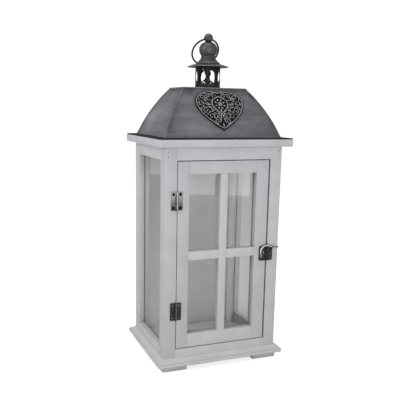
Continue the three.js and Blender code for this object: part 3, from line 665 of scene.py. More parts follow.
def plinth_moulding():
    """Four mitred strips from the plinth's edge up to the case, slightly hollow."""
    for side, turn in (("front", 0), ("right", 1), ("back", 2), ("left", 3)):
        node = f"base_cove_{side}"
        low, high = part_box(node)
        length = (high.x if turn % 2 == 0 else high.y)
        near = case_high.y if turn % 2 == 0 else case_high.x
        far = max(abs(low[1 - turn % 2]), abs(high[1 - turn % 2]))
        bottom, top = low.z, high.z + 0.8 * MM
        steps = 10
        section = [(near + 0.15 * MM, bottom), (far - 0.3 * MM, bottom), (far, bottom + 0.3 * MM)]
        for i in range(steps + 1):
            share = i / steps
            hollow = 0.9 * MM * math.sin(math.pi * share)
            out = far + (near + 0.7 * MM - far) * share
            height = bottom + 0.8 * MM + (top - bottom - 0.8 * MM) * share
            section.append((out - hollow * 0.55, height - hollow * 0.8))
        section += [(near + 0.15 * MM, top)]
        build = Build()
        points = []
        for end in (-1, 1):
            for out, height in section:
                mitred = length - (far - out) - 0.02 * MM
                points.append((end * mitred, -out, height))
        build.add(points, ring_faces(2, len(section)))
        piece = build.make(f"plinth_moulding_{side}", [PAINT[turn % 2]], 50)
        piece.data.transform(Matrix.Rotation(turn * TURN / 4, 4, "Z"))
        write_marks(piece, paint_marks(node))
        finish_piece(piece, "case", [node])


# ------------------------------------------------------------------ panes

def panes():
    for node in ("side_glass_left", "side_glass_right", "door_glass"):
        softened(node, GLASS, 0.2 * MM, 1)


# ------------------------------------------------------------------ roof

def roof_shape():
    """The bowed profile that all four sides share, worked out from the frame."""
    foot_y = -sheet_low.y
    foot_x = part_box("roof_panel_right")[1].x
    inset = foot_y - (cap_high.y - CAP_OVERHANG)
    low = sheet_low.z + 0.3 * MM
    rise = cap_low.z - 0.1 * MM - low
    chord = math.hypot(inset, rise)
    radius = chord * chord / (8 * ROOF_BOW) + ROOF_BOW / 2
    out = Vector((-rise, inset)).normalized()
    centre = Vector((inset / 2, rise / 2)) - out * (radius - ROOF_BOW)
    half = math.asin(chord / (2 * radius))
    return {
        "x": foot_x, "y": foot_y, "low": low, "radius": radius, "centre": centre, "half": half,
        "start": math.atan2(out.y, out.x) + half, "length": 2 * half * radius, "inset": inset,
    }


ROOF = roof_shape()


def roof_point(share, lift):
    """(inset, height) at a share of the slope's length and this far off the sheet, turned out at its foot."""
    angle = ROOF["start"] - 2 * ROOF["half"] * share
    reach = ROOF["radius"] + lift
    kick = 0.6 * MM * max(0.0, 1 - share * ROOF["length"] / (9 * MM)) ** 2
    inset = ROOF["centre"].x + reach * math.cos(angle) - kick
    return inset, ROOF["low"] + ROOF["centre"].y + reach * math.sin(angle)


def on_front(across, up, lift):
    """A point on the front slope: metres right of its middle, up from its foot, and off the sheet."""
    inset, height = roof_point(up / ROOF["length"], lift)
    return Vector((across, -(ROOF["y"] - inset), height))


def heart_rim_shadow(across, up):
    """How much painted shadow the heart's rim casts on the front sheet here."""
    nearest = min(math.hypot(across - x, up - HEART["foot"] - y) for x, y in HEART_RIM)
    return 0.9 * max(0.0, 1 - nearest / (6 * MM)) ** 1.5


def bowed_grid(name, reach, across, near, far, turn, material, edges):
    """A bowed sheet of quads between two lifts.

    `edges(share, half)` gives its two ends at a share of the slope, where the sheet is `half` wide.
    """
    rows, columns = 36, 48
    points, patina_and_shadow, rubbed = [], [], []
    for lift in (near, far):
        for i in range(rows + 1):
            share = i / rows
            inset, height = roof_point(share, lift)
            out = reach - inset
            left, right = edges(share, out + across - reach)
            for k in range(columns + 1):
                x = left + (right - left) * k / columns
                points.append((x, -out, height))
                side = out + across - reach
                hip = max(0.0, 1 - (side - abs(x)) / (24 * MM)) ** 1.6
                top = max(0.0, 1 - (1 - share) * ROOF["length"] / (24 * MM)) ** 1.2
                foot = 0.15 * max(0.0, 1 - share * ROOF["length"] / (6 * MM))
                # Painted shadow: the sheet is darker round the heart's rim.
                rim_shadow = heart_rim_shadow(x, share * ROOF["length"]) if turn == 0 else 0.0
                patina_and_shadow.append(min(1.0, 0.55 * hip + top + foot + rim_shadow))
                fold = max(0.0, 1 - (side - abs(x)) / (0.8 * MM))
                rubbed.append(0.5 * fold)
    width = columns + 1
    layer = (rows + 1) * width
    faces = []
    for i in range(rows):
        for k in range(columns):
            a = i * width + k
            faces.append([a, a + 1, a + 1 + width, a + width])
            faces.append([layer + a, layer + a + width, layer + a + 1 + width, layer + a + 1])
    for i in range(rows):
        for k in (0, columns):
            a, b = i * width + k, (i + 1) * width + k
            faces.append([a, b, layer + b, layer + a])
    for i in (0, rows):
        for k in range(columns):
            a, b = i * width + k, i * width + k + 1
            faces.append([a, b, layer + b, layer + a])
    piece = mesh_piece(name, points, faces, [material], 40, {"patina_and_shadow": patina_and_shadow, "rubbed": rubbed})
    piece.data.transform(Matrix.Rotation(turn * TURN / 4, 4, "Z"))
    return piece


HEART = {"width": 86 * MM, "height": 73.4 * MM, "foot": 11.2 * MM}
# The drop, scrolls and leaves are drawn in these units, across the heart and up it.
HEART_WIDE = 1.045 * MM
HEART_TALL = 1.11 * MM


def bezier(handles, steps):
    points = []
    for i in range(steps + 1):
        t = i / steps
        weights = ((1 - t) ** 3, 3 * t * (1 - t) ** 2, 3 * t * t * (1 - t), t ** 3)
        points.append(tuple(sum(weight * p[n] for weight, p in zip(weights, handles)) for n in (0, 1)))
    return points


def heart_curve(inset, steps=26):
    """Points round a heart standing on its tip, as (across, up), drawn in by `inset`."""
    w, h = HEART["width"] / 2 - inset, HEART["height"]
    tip, top, cleft = 1.5 * inset, h - inset, h * 0.94 - inset * 0.4
    lower = [(0, tip), (w * 0.45, h * 0.2), (w, h * 0.42), (w, h * 0.68)]
    upper = [(w, h * 0.68), (w, top), (w * 0.25, top * 1.06), (0, cleft)]
    half = bezier(lower, steps) + bezier(upper, steps)[1:]
    return half + [(-x, y) for x, y in half[-2:0:-1]]


HEART_RIM = heart_curve(0, 12)


def roof_panels():
    for side, turn in (("front", 0), ("right", 1), ("back", 2), ("left", 3)):
        reach, across = (ROOF["y"], ROOF["x"]) if turn % 2 == 0 else (ROOF["x"], ROOF["y"])
        ends = lambda share, half: (-half + 0.05 * MM, half - 0.05 * MM)
        piece = bowed_grid(f"roof_sheet_{side}", reach, across, -SHEET, 0, turn, ZINC[turn % 2], ends)
        finish_piece(piece, "case", [f"roof_panel_{side}"])


def hip_laps():
    """The end sheets turn round each hip and lap over the front and back sheets."""
    lap, thick = 4.2 * MM, 0.55 * MM
    for turn, side in ((0, "front"), (2, "back")):
        for end in (-1, 1):
            def edges(share, half, end=end):
                inner, outer = half - lap * (1 - 0.25 * share), half + 0.35 * MM
                return (inner, outer) if end > 0 else (-outer, -inner)
            name = f"hip_lap_{side}_{'left' if end < 0 else 'right'}"
            near = 0.12 * MM
            piece = bowed_grid(name, ROOF["y"], ROOF["x"], near, near + thick, turn, ZINC[1], edges)
            finish_piece(piece, "case")


def roof_cap():
    """The flat top, with a rolled rim."""
    build = Build()
    half_x, half_y = cap_high.x, cap_high.y
    low, high = cap_low.z, cap_high.z
    hole = (gallery_high.x - 5.6 * MM)
    rings, rubbed = [], []
    section = [
        (2.5 * MM, low), (0.9 * MM, low - 0.5 * MM), (0.15 * MM, low + 0.2 * MM), (0, low + 0.9 * MM),
        (0.3 * MM, high - 0.35 * MM), (0.9 * MM, high), (2.2 * MM, high - 0.1 * MM),
        (3.2 * MM, high - 0.35 * MM),
    ]
    wear_and_sheen = [0, 0.1, 0.5, 0.8, 1.0, 0.9, 0.4, 0.1]
    for (drawn, height), wear in zip(section, wear_and_sheen):
        ring = rounded_rectangle(half_x - drawn, half_y - drawn, 1.4 * MM, height, 5)
        rings += ring
        rubbed += [wear] * len(ring)
    count = len(rings) // len(section)
    for height in (high - 0.35 * MM, low):
        for k in range(count):
            x, y, _ = rings[k]
            place = Vector((x, y)).normalized() * hole
            rings.append((place.x, place.y, height))
            rubbed.append(0.0)
    build.add(rings, ring_faces(len(section) + 2, count, closed=True), rubbed)
    piece = build.make("roof_cap_rolled", [ZINC[0]], 50)
    finish_piece(piece, "case", ["roof_cap"])


def roof_flange():
    softened("roof_flange", BLACK, 0.3 * MM, 2)


# ------------------------------------------------------------------ heart

def spiral(centre, radius, start, turns, inner=0.34, steps=22):
    """A scroll from its outer end to its eye; start is in degrees, and negative turns run clockwise."""
    points = []
    for i in range(steps + 1):
        share = i / steps
        angle = math.radians(start) + TURN * turns * share
        reach = radius * (1 - (1 - inner) * share ** 0.8)
        points.append((centre[0] + reach * math.cos(angle), centre[1] + reach * math.sin(angle)))
    return points


def heart_wire(build, points, radius, lift, closed=False, taper=None, flat=0.8, slot=0):
    path = [on_front(x, HEART["foot"] + y, lift) for x, y in points]
    out = (on_front(0, 0.05, 1 * MM) - on_front(0, 0.05, 0)).normalized()
    tube(build, path, radius, out, 8, closed, flat, slot, taper)


def heart_leaf(build, x, y, angle, length, width, lift=2.1 * MM):
    """A small pointed leaf lying on the slope."""
    centre = on_front(x, HEART["foot"] + y, lift)
    a = math.radians(angle)
    tip = on_front(x + math.cos(a) * MM, HEART["foot"] + y + math.sin(a) * MM, lift) - centre
    out = (on_front(x, HEART["foot"] + y, lift + MM) - centre).normalized()
    along = tip.normalized()
    ellipsoid(build, centre, (along * length / 2, out.cross(along) * width / 2, out * 1.1 * MM), 0, 10, 6)


def heart():
    """An openwork heart: a double rim, a drop-shaped frame round a rosette, and scrolls with leaves."""
    build = Build()
    # The outer rim is near black: painted shadow round the heart's edge.
    heart_wire(build, heart_curve(0.9 * MM), 1.0 * MM, 0.9 * MM, True, flat=1.0, slot=1)
    heart_wire(build, heart_curve(2.5 * MM), 0.68 * MM, 2.0 * MM, True)

    drop = bezier([(0, 25), (5, 31), (15.4, 36.5), (15.0, 44.5)], 14)
    drop += bezier([(15.0, 44.5), (14.4, 50), (9, 54.5), (0, 57.5)], 14)[1:]
    drop = [(0.9 * x * HEART_WIDE, (2.2 + 0.93 * y) * HEART_TALL) for x, y in drop]
    drop += [(-x, y) for x, y in drop[-2:0:-1]]
    heart_wire(build, drop, 0.85 * MM, 2.1 * MM, True)

    middle = 42.4 * HEART_TALL
    eye_radius = 3.3 * MM
    eye_turns = [TURN * k / 20 for k in range(20)]
    eye = [(eye_radius * math.cos(turn), middle + eye_radius * math.sin(turn)) for turn in eye_turns]
    heart_wire(build, eye, 0.65 * MM, 2.3 * MM, True)
    heart_leaf(build, 0, middle, 0, 4.2 * MM, 4.2 * MM, 1.5 * MM)
    petal_ring = 7.8 * MM
    for k in range(8):
        angle = 22.5 + 45 * k
        x = petal_ring * math.cos(math.radians(angle))
        y = middle + petal_ring * math.sin(math.radians(angle))
        heart_leaf(build, x, y, angle, 4.6 * MM, 2.6 * MM, 2.0 * MM)
    heart_leaf(build, 0, 31.5 * HEART_TALL, 90, 7.8 * MM, 2.7 * MM)
    heart_leaf(build, 0, 8.4 * HEART_TALL, 90, 7.4 * MM, 2.4 * MM)

    fade = lambda share: 1 - 0.35 * share
    for side in (1, -1):
        flip = lambda points: [(side * x * HEART_WIDE, y * HEART_TALL) for x, y in points]
        stem = bezier([(1.2, 25.5), (2.2, 20), (2.4, 16), (5.8, 12.2)], 12)
        heart_wire(build, flip(stem), 0.75 * MM, 2.0 * MM)
        branches = [
            [(2.2, 21), (3.6, 28), (7.5, 30), (9.8, 34.5)],
            [(9.4, 33.5), (13, 30), (18, 31), (22.5, 27)],
            [(14.8, 42), (19, 40), (21, 44), (26.5, 43)],
            [(13.5, 49), (18, 50.5), (22, 48.5), (27, 51.5)],
            [(9.5, 54), (11, 58), (14, 60.5), (19, 60.2)],
            [(2.6, 16.5), (4.6, 20.5), (9, 21.5), (12.4, 18.5)],
            [(3.4, 24.5), (5.6, 27.8), (9.6, 28.2), (12.2, 24.6)],
            [(15.6, 38.6), (19.4, 37.4), (23.4, 38.4), (26.6, 36.4)],
        ]
        for branch in branches:
            heart_wire(build, flip(bezier(branch, 12)), 0.6 * MM, 1.8 * MM, taper=fade)
        scrolls = [
            ((9.3, 14.6), 4.2, 250, 1.15), ((17.6, 22.8), 4.7, 225, -1.1), ((25.4, 32.6), 5.0, 280, 1.15),
            ((32.0, 43.6), 5.0, 200, -1.15), ((28.0, 54.8), 5.0, 260, -1.15), ((17.4, 57.0), 4.0, 130, -1.1),
            ((7.6, 60.6), 2.8, 300, 1.1), ((20.9, 43.6), 3.4, 180, 1.1), ((14.0, 34.6), 3.0, 250, 1.1),
            ((21.6, 51.0), 2.4, 60, 1.0), ((7.6, 22.8), 2.2, 300, -1.0), ((33.6, 34.6), 2.0, 120, 1.0),
        ]
        for (x, y), radius, start, turns in scrolls:
            heart_wire(build, flip(spiral((x, y), radius, start, turns)), 0.6 * MM, 1.9 * MM, taper=fade)
        leaves = [
            (4.6, 17.5, 100, 4.4, 1.5), (13.2, 20.6, 60, 4.6, 1.7), (12.6, 27.2, 120, 5.0, 1.9),
            (19.6, 29.4, 50, 4.4, 1.7), (18.3, 36.8, 140, 5.2, 1.9), (28.2, 38.6, 70, 4.2, 1.7),
            (24.4, 47.6, 20, 4.6, 1.7), (20.8, 52.6, 150, 4.6, 1.8), (34.4, 50.8, 80, 5.0, 1.7),
            (22.6, 60.6, 30, 4.4, 1.6), (11.2, 60.8, 160, 4.2, 1.6), (5.6, 56.6, 170, 3.6, 1.5),
            (30.6, 37.2, 35, 3.8, 1.4), (24.2, 25.4, 45, 4.0, 1.4), (35.6, 42.0, 75, 4.2, 1.4),
        ]
        for x, y, angle, length, width in leaves:
            turned = angle if side > 0 else 180 - angle
            heart_leaf(build, side * x * HEART_WIDE, y * HEART_TALL, turned, length * MM, width * MM)

    outline = heart_curve(1.6 * MM, 14)
    count = len(outline)
    middle_at = (0, HEART["height"] * 0.55)
    rings = []
    for lift in (0.15 * MM, 0.5 * MM):
        for share in (0.02, 0.35, 0.7, 1.0):
            ring = [(middle_at[0] + (x - middle_at[0]) * share, middle_at[1] + (y - middle_at[1]) * share)
                    for x, y in outline]
            rings.append([on_front(x, HEART["foot"] + y, lift) for x, y in ring])
    order = rings[:4] + rings[:3:-1]
    build.add([p for ring in order for p in ring], ring_faces(8, count), None, 1)
    piece = build.make("heart_openwork", [HEART_CAST, HEART_BLACK_AND_SHADOW], 60)
    finish_piece(piece, "case", ["heart_ornament"])


# ------------------------------------------------------------------ gallery, brim, finial and ring

GALLERY = {
    "radius": gallery_high.x, "wall": 1.0 * MM, "turn": -27.5, "bays": 4,
    "low": gallery_low.z, "high": gallery_high.z,
}


def smooth_loop(points, steps=6):
    """A closed smooth curve through a few points."""
    count = len(points)
    curve = []
    for i in range(count):
        p0, p1, p2, p3 = (Vector(points[(i + k) % count]) for k in (-1, 0, 1, 2))
        for s in range(steps):
            t = s / steps
            at = 0.5 * (2 * p1 + (p2 - p0) * t + (2 * p0 - 5 * p1 + 4 * p2 - p3) * t * t
                        + (3 * p1 - p0 - 3 * p2 + p3) * t ** 3)
            curve.append((at.x, at.y))
    return curve


def gallery():
    """The pierced drum: cut flat, then rolled round and given its wall."""
    height = (GALLERY["high"] - GALLERY["low"]) / MM
    bay = TURN * GALLERY["radius"] / MM / GALLERY["bays"]
    main = [
        (2.2, height - 4.4), (6.4, height - 4.7), (10.8, height - 7.2), (13.8, height - 11.4),
        (14.5, height - 17), (14.0, height - 22.8), (13.0, height - 26.6), (8.4, height - 24.0),
        (3.8, height - 21.2), (1.9, height - 17.6), (2.1, height - 14.4), (4.0, height - 10.8),
        (3.6, height - 7.0),
    ]
    foot = [(2.0, height - 27.4), (4.6, height - 23.9), (8.0, height - 26.6), (5.2, height - 28.4)]
    eye = 1.05
    loops = []
    for k in range(GALLERY["bays"]):
        centre = (k + 0.5) * bay
        for side in (-1, 1):
            loops.append(smooth_loop([(centre + side * x, z) for x, z in main]))
            loops.append(smooth_loop([(centre + side * x, z) for x, z in foot], 3))
            for out in (bay / 2 - 2.2, 10.4):
                across, up = centre + side * out, height - 2.7
                turns = [TURN * s / 12 for s in range(12)]
                loops.append([(across + eye * math.cos(a), up + eye * math.sin(a)) for a in turns])
    curve = bpy.data.curves.new("gallery_flat", "CURVE")
    curve.dimensions, curve.fill_mode = "2D", "BOTH"
    frame_loop = [(0, 0), (4 * bay, 0), (4 * bay, height), (0, height)]
    for loop in [frame_loop] + loops:
        spline = curve.splines.new("POLY")
        spline.points.add(len(loop) - 1)
        for point, (x, z) in zip(spline.points, loop):
            point.co = (x, z, 0, 1)
        spline.use_cyclic_u = True
    flat = bpy.data.objects.new("gallery_flat", curve)
    bpy.context.scene.collection.objects.link(flat)
    graph = bpy.context.evaluated_depsgraph_get()
    mesh = bpy.data.meshes.new_from_object(flat.evaluated_get(graph))
    bpy.data.objects.remove(flat)

    shape = bmesh.new()
    shape.from_mesh(mesh)
    bmesh.ops.remove_doubles(shape, verts=shape.verts, dist=1e-4)
    cuts = 96
    for k in range(1, cuts):
        geometry = shape.verts[:] + shape.edges[:] + shape.faces[:]
        place = (4 * bay * k / cuts, 0, 0)
        bmesh.ops.bisect_plane(shape, geom=geometry, plane_co=place, plane_no=(1, 0, 0))
    radius = GALLERY["radius"] - 0.05 * MM
    start = math.radians(GALLERY["turn"]) - TURN / 4 - TURN / 8
    for vert in shape.verts:
        angle = start + vert.co.x / (4 * bay) * TURN
        height_here = GALLERY["low"] + vert.co.y * MM
        vert.co = Vector((radius * math.cos(angle), radius * math.sin(angle), height_here))
    bmesh.ops.remove_doubles(shape, verts=shape.verts, dist=1e-6)
    bmesh.ops.recalc_face_normals(shape, faces=shape.faces)
    outward = sum((f.normal.x * f.calc_center_median().x + f.normal.y * f.calc_center_median().y)
                  for f in shape.faces)
    if outward < 0:
        bmesh.ops.reverse_faces(shape, faces=shape.faces)
    shape.to_mesh(mesh)
    shape.free()
    piece = link_piece("gallery_pierced", mesh, [DRUM_CAST])
    wall = piece.modifiers.new("wall", "SOLIDIFY")
    wall.thickness, wall.offset = GALLERY["wall"], -1
    bake_modifiers(piece)
    tidy_mesh(piece.data, 40)
    finish_piece(piece, "case", ["cupola_gallery"])


def gallery_beads():
    """Raised beads round the drum's foot and head."""
    build = Build()
    radius = GALLERY["radius"] + 0.1 * MM
    turns = [TURN * k / 72 for k in range(72)]
    for height, thick in ((GALLERY["low"] + 1.0 * MM, 0.9 * MM), (GALLERY["high"] - 0.8 * MM, 0.7 * MM)):
        loop = [(radius * math.cos(turn), radius * math.sin(turn), height) for turn in turns]
        tube(build, loop, thick, (0, 0, 1), 8, True)
    finish_piece(build.make("gallery_beads", [DRUM_CAST]), "case")


def brim():
    """The spun brim, dished up to the finial's foot, with a rounded edge."""
    build = Build()
    rim = brim_high.x
    low, high = brim_low.z + 0.4 * MM, brim_high.z
    profile = [
        (0, low), (22 * MM, low), (rim - 1.6 * MM, low - 0.35 * MM), (rim - 0.3 * MM, low - 0.2 * MM),
        (rim, low + 0.35 * MM), (rim - 0.5 * MM, low + 0.95 * MM), (rim - 4 * MM, low + 1.7 * MM),
        (29 * MM, low + 2.9 * MM), (24 * MM, low + 4.1 * MM), (20 * MM, high), (0, high),
    ]
    wear_and_sheen = [0, 0, 0.2, 0.7, 1.0, 0.8, 0.3, 0.15, 0.1, 0, 0]
    lathe(build, [(max(r, 1e-5), z) for r, z in profile], wear_and_sheen=wear_and_sheen)
    finish_piece(build.make("brim_spun", [CAST], 50), "case", ["cupola_brim"])


# The ring's wire, by its radius, and how far it leans back from hanging straight down.
RING_WIRE = 1.5 * MM
RING_LEAN = math.radians(33)


def finial():
    """The onion finial: a stepped bell foot, a waist, a ball and the knob that holds the ring."""
    build = Build()
    low, high = finial_low.z, finial_high.z
    knob, dome, crown, neck, waist = 7.7 * MM, 15.7 * MM, 13.2 * MM, 4.4 * MM, 11.6 * MM
    knob_at = high - knob
    dome_at = knob_at - 18.6 * MM
    profile = [(1e-5, low), (20.6 * MM, low), (21 * MM, low + 0.4 * MM), (21 * MM, low + 1.0 * MM),
               (20.4 * MM, low + 1.5 * MM), (17.6 * MM, low + 3.6 * MM), (15.0 * MM, low + 6.2 * MM),
               (13.0 * MM, low + 8.4 * MM), (12.3 * MM, low + 9.2 * MM), (12.7 * MM, low + 9.8 * MM),
               (12.5 * MM, low + 10.6 * MM), (11.7 * MM, low + 11.6 * MM)]
    wear_and_sheen = [0, 0.3, 0.8, 0.6, 0.3, 0.1, 0.05, 0, 0.1, 0.5, 0.4, 0]
    start, end = -math.acos(waist / dome) + 0.08, math.acos(neck / dome)
    for i in range(19):
        angle = start + (end - start) * i / 18
        rise = crown if angle > 0 else dome
        profile.append((dome * math.cos(angle), dome_at + rise * math.sin(angle)))
        wear_and_sheen.append(0.25 if abs(angle) < 0.5 else 0.05)
    start = -math.acos(neck / knob) + 0.1
    for i in range(15):
        angle = start + (TURN / 4 - start) * i / 14
        profile.append((max(knob * math.cos(angle), 1e-5), knob_at + knob * math.sin(angle)))
        wear_and_sheen.append(0.3 if angle > 0.3 else 0.05)
    lathe(build, profile, wear_and_sheen=wear_and_sheen)
    piece = build.make("finial_turned", [CAST], 50)

    drill = Build()
    pivot = ring_pivot.z
    reach = 12 * MM
    hole = [(-reach + 2 * reach * i, 0, pivot) for i in range(2)]
    tube(drill, hole, RING_WIRE + 1.2 * MM, (0, 0, 1), 24)
    cutter = drill.make("ring_hole", [])
    cut = piece.modifiers.new("hole", "BOOLEAN")
    cut.operation, cut.object, cut.solver = "DIFFERENCE", cutter, "EXACT"
    bake_modifiers(piece)
    bpy.data.objects.remove(cutter)
    piece.data.shade_smooth()
    piece.data.set_sharp_from_angle(angle=math.radians(40))
    finish_piece(piece, "case", ["finial"])


ring_pivot = Vector(next(j for j in frame["joints"] if j["name"] == "ring_swing")["pos_m"])


def carrying_ring():
    """The ring, hung through the knob and leaning back over the brim."""
    build = Build()
    radius = (ring_high.x - ring_low.x) / 2 - RING_WIRE
    away = Vector((0, math.sin(RING_LEAN), -math.cos(RING_LEAN)))
    centre = ring_pivot + away * radius
    across = Vector((1, 0, 0))
    loop = []
    for k in range(96):
        angle = TURN * k / 96
        loop.append(centre + across * (radius * math.sin(angle)) - away * (radius * math.cos(angle)))
    tube(build, loop, RING_WIRE, across.cross(away), 14, True)
    finish_piece(build.make("ring_wire", [DRUM_CAST], 60), "ring", ["ring_handle"])


# ------------------------------------------------------------------ hinges, latch and nails

def nail_tree():
    """A node tree that puts a domed head on every point, flattened along the way the head faces."""
    tree = bpy.data.node_groups.new("nail_heads", "GeometryNodeTree")
    face = tree.interface
    face.new_socket("Geometry", in_out="INPUT", socket_type="NodeSocketGeometry")
    for label, kind in (("Radius", "NodeSocketFloat"), ("Proud", "NodeSocketFloat"),
                        ("Finish", "NodeSocketMaterial")):
        face.new_socket(label, in_out="INPUT", socket_type=kind)
    face.new_socket("Geometry", in_out="OUTPUT", socket_type="NodeSocketGeometry")
    given = tree.nodes.new("NodeGroupInput")
    ball = add_node(tree, "GeometryNodeMeshUVSphere", {}, {"Segments": 16, "Rings": 8, "Radius": 1.0})
    size = tree.nodes.new("ShaderNodeCombineXYZ")
    tree.links.new(given.outputs["Radius"], size.inputs["X"])
    tree.links.new(given.outputs["Proud"], size.inputs["Y"])
    tree.links.new(given.outputs["Radius"], size.inputs["Z"])
    shaped = tree.nodes.new("GeometryNodeTransform")
    tree.links.new(ball.outputs["Mesh"], shaped.inputs["Geometry"])
    tree.links.new(size.outputs["Vector"], shaped.inputs["Scale"])
    placed = tree.nodes.new("GeometryNodeInstanceOnPoints")
    tree.links.new(given.outputs["Geometry"], placed.inputs["Points"])
    tree.links.new(shaped.outputs["Geometry"], placed.inputs["Instance"])
    real = tree.nodes.new("GeometryNodeRealizeInstances")
    tree.links.new(placed.outputs["Instances"], real.inputs["Geometry"])
    smooth = tree.nodes.new("GeometryNodeSetShadeSmooth")
    tree.links.new(real.outputs["Geometry"], smooth.inputs["Geometry"])
    coated = tree.nodes.new("GeometryNodeSetMaterial")
    tree.links.new(smooth.outputs["Geometry"], coated.inputs["Geometry"])
    tree.links.new(given.outputs["Finish"], coated.inputs["Material"])
    out = tree.nodes.new("NodeGroupOutput")
    tree.links.new(coated.outputs["Geometry"], out.inputs["Geometry"])
    return tree


NAILS = nail_tree()


def nails(name, body, places, radius, proud, material):
    """Nail heads on a face that looks forwards, one at each place."""
    mesh = bpy.data.meshes.new(name)
    mesh.from_pydata([tuple(p) for p in places], [], [])
    piece = link_piece(name, mesh, [material])
    modifier = piece.modifiers.new("heads", "NODES")
    modifier.node_group = NAILS
    values = {"Radius": radius, "Proud": proud, "Finish": material}
    for item in NAILS.interface.items_tree:
        if item.in_out == "INPUT" and item.name in values:
            modifier[item.identifier] = values[item.name]
    bake_modifiers(piece)
    return finish_piece(piece, body)


def hinges():
    """Two butt hinges, their barrels given a painted highlight along the front, with big nail heads in the
    leaves.
    """
    for level in ("lower", "upper"):
        metal = HINGE_STEEL[level]
        # The upper hinge's near-black nail heads are painted shade for its deep nail holes.
        heads = NAIL_HOLE_SHADE if level == "upper" else STEEL
        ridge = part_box(f"{level}_hinge_pin")[0].y - 0.2 * MM
        # Painted highlight: the front of each barrel is bright.
        front_highlight = lambda at: 1.0 if at.y < ridge else 0.0
        for leaf, side in (("frame", -1), ("door", 1)):
            node = f"{level}_hinge_{leaf}_leaf"
            softened(node, metal, 0.25 * MM, 2, {"rubbed": front_highlight})
            low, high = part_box(node)
            pin_low, pin_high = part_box(f"{level}_hinge_pin")
            axis = (pin_low.x + pin_high.x) / 2
            outer = low.x if side < 0 else high.x
            at = axis + (outer - axis) * 0.62
            front = case_low.y - 1.3 * MM
            places = [(at, front, low.z + 4.2 * MM), (at, front, high.z - 4.2 * MM)]
            body = "case" if leaf == "frame" else "door"
            size = 2.5 * MM if level == "upper" else 1.5 * MM
            nails(f"{level}_hinge_{leaf}_nails", body, places, size, 0.8 * MM, heads)
        softened(f"{level}_hinge_pin", metal, 0.15 * MM, 2, {"rubbed": lambda at: 0.6})


def latch_arm():
    """A curved arm from its rivet over to the hook on the stud, and a rod with a ball end."""
    pivot = Vector(next(j for j in frame["joints"] if j["name"] == "latch_lift")["pos_m"])
    low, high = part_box("latch_arm")
    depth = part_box("latch_door_plate")[0].y - 1.75 * MM
    centre = pivot + Vector((9.6, 0, 7.9)) * MM
    reach = 11.2 * MM
    build = Build()
    path = [Vector((pivot.x, depth, pivot.z))]
    for k in range(23):
        angle = math.radians(218 - k * 160 / 22)
        across, up = centre.x + reach * math.cos(angle), centre.z + reach * math.sin(angle)
        path.append(Vector((across, depth, up)))
    path.append(centre + Vector((9.6, 0, 8.6)) * MM)
    path[-1].y = depth
    swell = lambda share: 0.85 + 0.25 * math.sin(math.pi * share)
    # Painted highlight: the arm's front is bright and its edges dark.
    tube(build, path, 1.6 * MM, (0, -1, 0), 12, flat=0.85, taper=swell)
    bends = ((7.4, 9.0), (9.6, 9.1), (12.3, 8.0), (12.9, 6.2), (12.6, 4.6))
    hook = [centre + Vector((x, 0, z)) * MM for x, z in bends]
    for place in hook:
        place.y = depth
    tube(build, hook, 1.25 * MM, (0, -1, 0), 10, flat=0.9)
    ends = [
        Vector((centre.x + 11 * MM, depth, centre.z + 8.6 * MM)),
        Vector((high.x - 1.3 * MM, low.y + 1.6 * MM, centre.z + 8.7 * MM)),
    ]
    tube(build, ends, 1.4 * MM, (0, 0, 1), 12)
    ball = 2.0 * MM
    ball_axes = (Vector((ball, 0, 0)), Vector((0, ball, 0)), Vector((0, 0, ball)))
    ellipsoid(build, ends[1], ball_axes, 0, 14, 10, 1.0)
    pad = 3.0 * MM
    pad_axes = (Vector((pad, 0, 0)), Vector((0, 1.2 * MM, 0)), Vector((0, 0, pad)))
    ellipsoid(build, path[0], pad_axes, 0, 16, 10, 0.3)
    finish_piece(build.make("latch_arm_forged", [FORGED_STEEL], 60), "latch", ["latch_arm"])


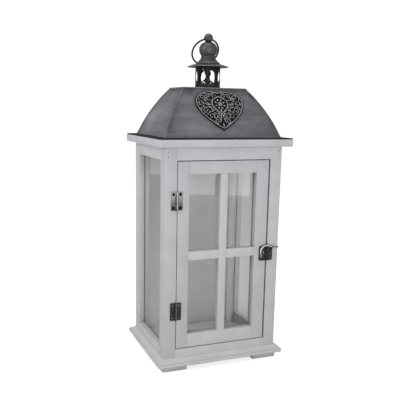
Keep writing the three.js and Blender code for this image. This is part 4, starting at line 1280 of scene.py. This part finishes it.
def latch_gap_shade():
    """Dark strips, shaped as the plates' edges turned back into the gap between the door and the post:
    painted shade for that gap.
    """
    door_edge, post_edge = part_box("door_latch_stile")[1].x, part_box("front_top_rail")[1].x + 0.1 * MM
    for name, body, plate, low_x, high_x in (
        ("latch_door_gap_shade", "door", "latch_door_plate", door_edge + 0.1 * MM, door_edge + 0.9 * MM),
        ("latch_keeper_gap_shade", "case", "latch_keeper", post_edge - 1.0 * MM, post_edge - 0.1 * MM),
    ):
        low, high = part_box(plate)
        build = Build()
        rings = []
        bottom, top = low.z + MM, high.z - MM
        for y in (case_low.y - 1.2 * MM, case_low.y + 7 * MM):
            rings += [(low_x, y, bottom), (high_x, y, bottom), (high_x, y, top), (low_x, y, top)]
        build.add(rings, ring_faces(2, 4))
        finish_piece(build.make(name, [DARK_STEEL]), body)


def latch():
    """The two plates, the arm between them, and the screws and nails that hold them."""
    softened("latch_door_plate", DARK_STEEL, 0.3 * MM, 2)
    softened("latch_keeper", DARK_STEEL, 0.3 * MM, 2)
    softened("latch_rivet", STEEL, 0.15 * MM, 2)
    latch_arm()
    latch_gap_shade()
    low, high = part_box("latch_door_plate")
    front = low.y - 0.1 * MM
    middle = (low.x + high.x) / 2 + 1.8 * MM
    places = [(middle, front, low.z + 0.55 * (high.z - low.z))]
    nails("latch_plate_screw", "door", places, 1.3 * MM, 0.8 * MM, BRIGHT_STEEL)
    corner = [(low.x + 1.9 * MM, front, z) for z in (high.z - 2.6 * MM, low.z + 2.4 * MM)]
    nails("latch_plate_nails", "door", corner, 1.0 * MM, 0.6 * MM, DARK_STEEL)
    low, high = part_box("latch_keeper")
    across = (low.x + high.x) / 2 + 0.4 * MM
    places = [(across, front, low.z + share * (high.z - low.z)) for share in (0.16, 0.45)]
    nails("latch_keeper_screws", "case", places, 1.2 * MM, 0.7 * MM, STEEL)


def brads():
    """Filled brad holes at the ends of the frame's rails."""
    front = case_low.y + 0.12 * MM
    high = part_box("front_top_rail")[1]
    places = []
    for side in (-1, 1):
        across = side * (case_high.x - 5 * MM)
        for height in (high.z - 8 * MM, high.z - 15 * MM):
            places.append((across, front, height))
    nails("frame_brads", "case", places, 1.0 * MM, 0.22 * MM, DARK_STEEL)


# ------------------------------------------------------------------ putting it together

add_camera()
add_studio()
paint_wood()
plinth()
plinth_moulding()
panes()
roof_flange()
roof_panels()
hip_laps()
roof_cap()
heart()
gallery()
gallery_beads()
brim()
finial()
carrying_ring()
hinges()
latch()
brads()
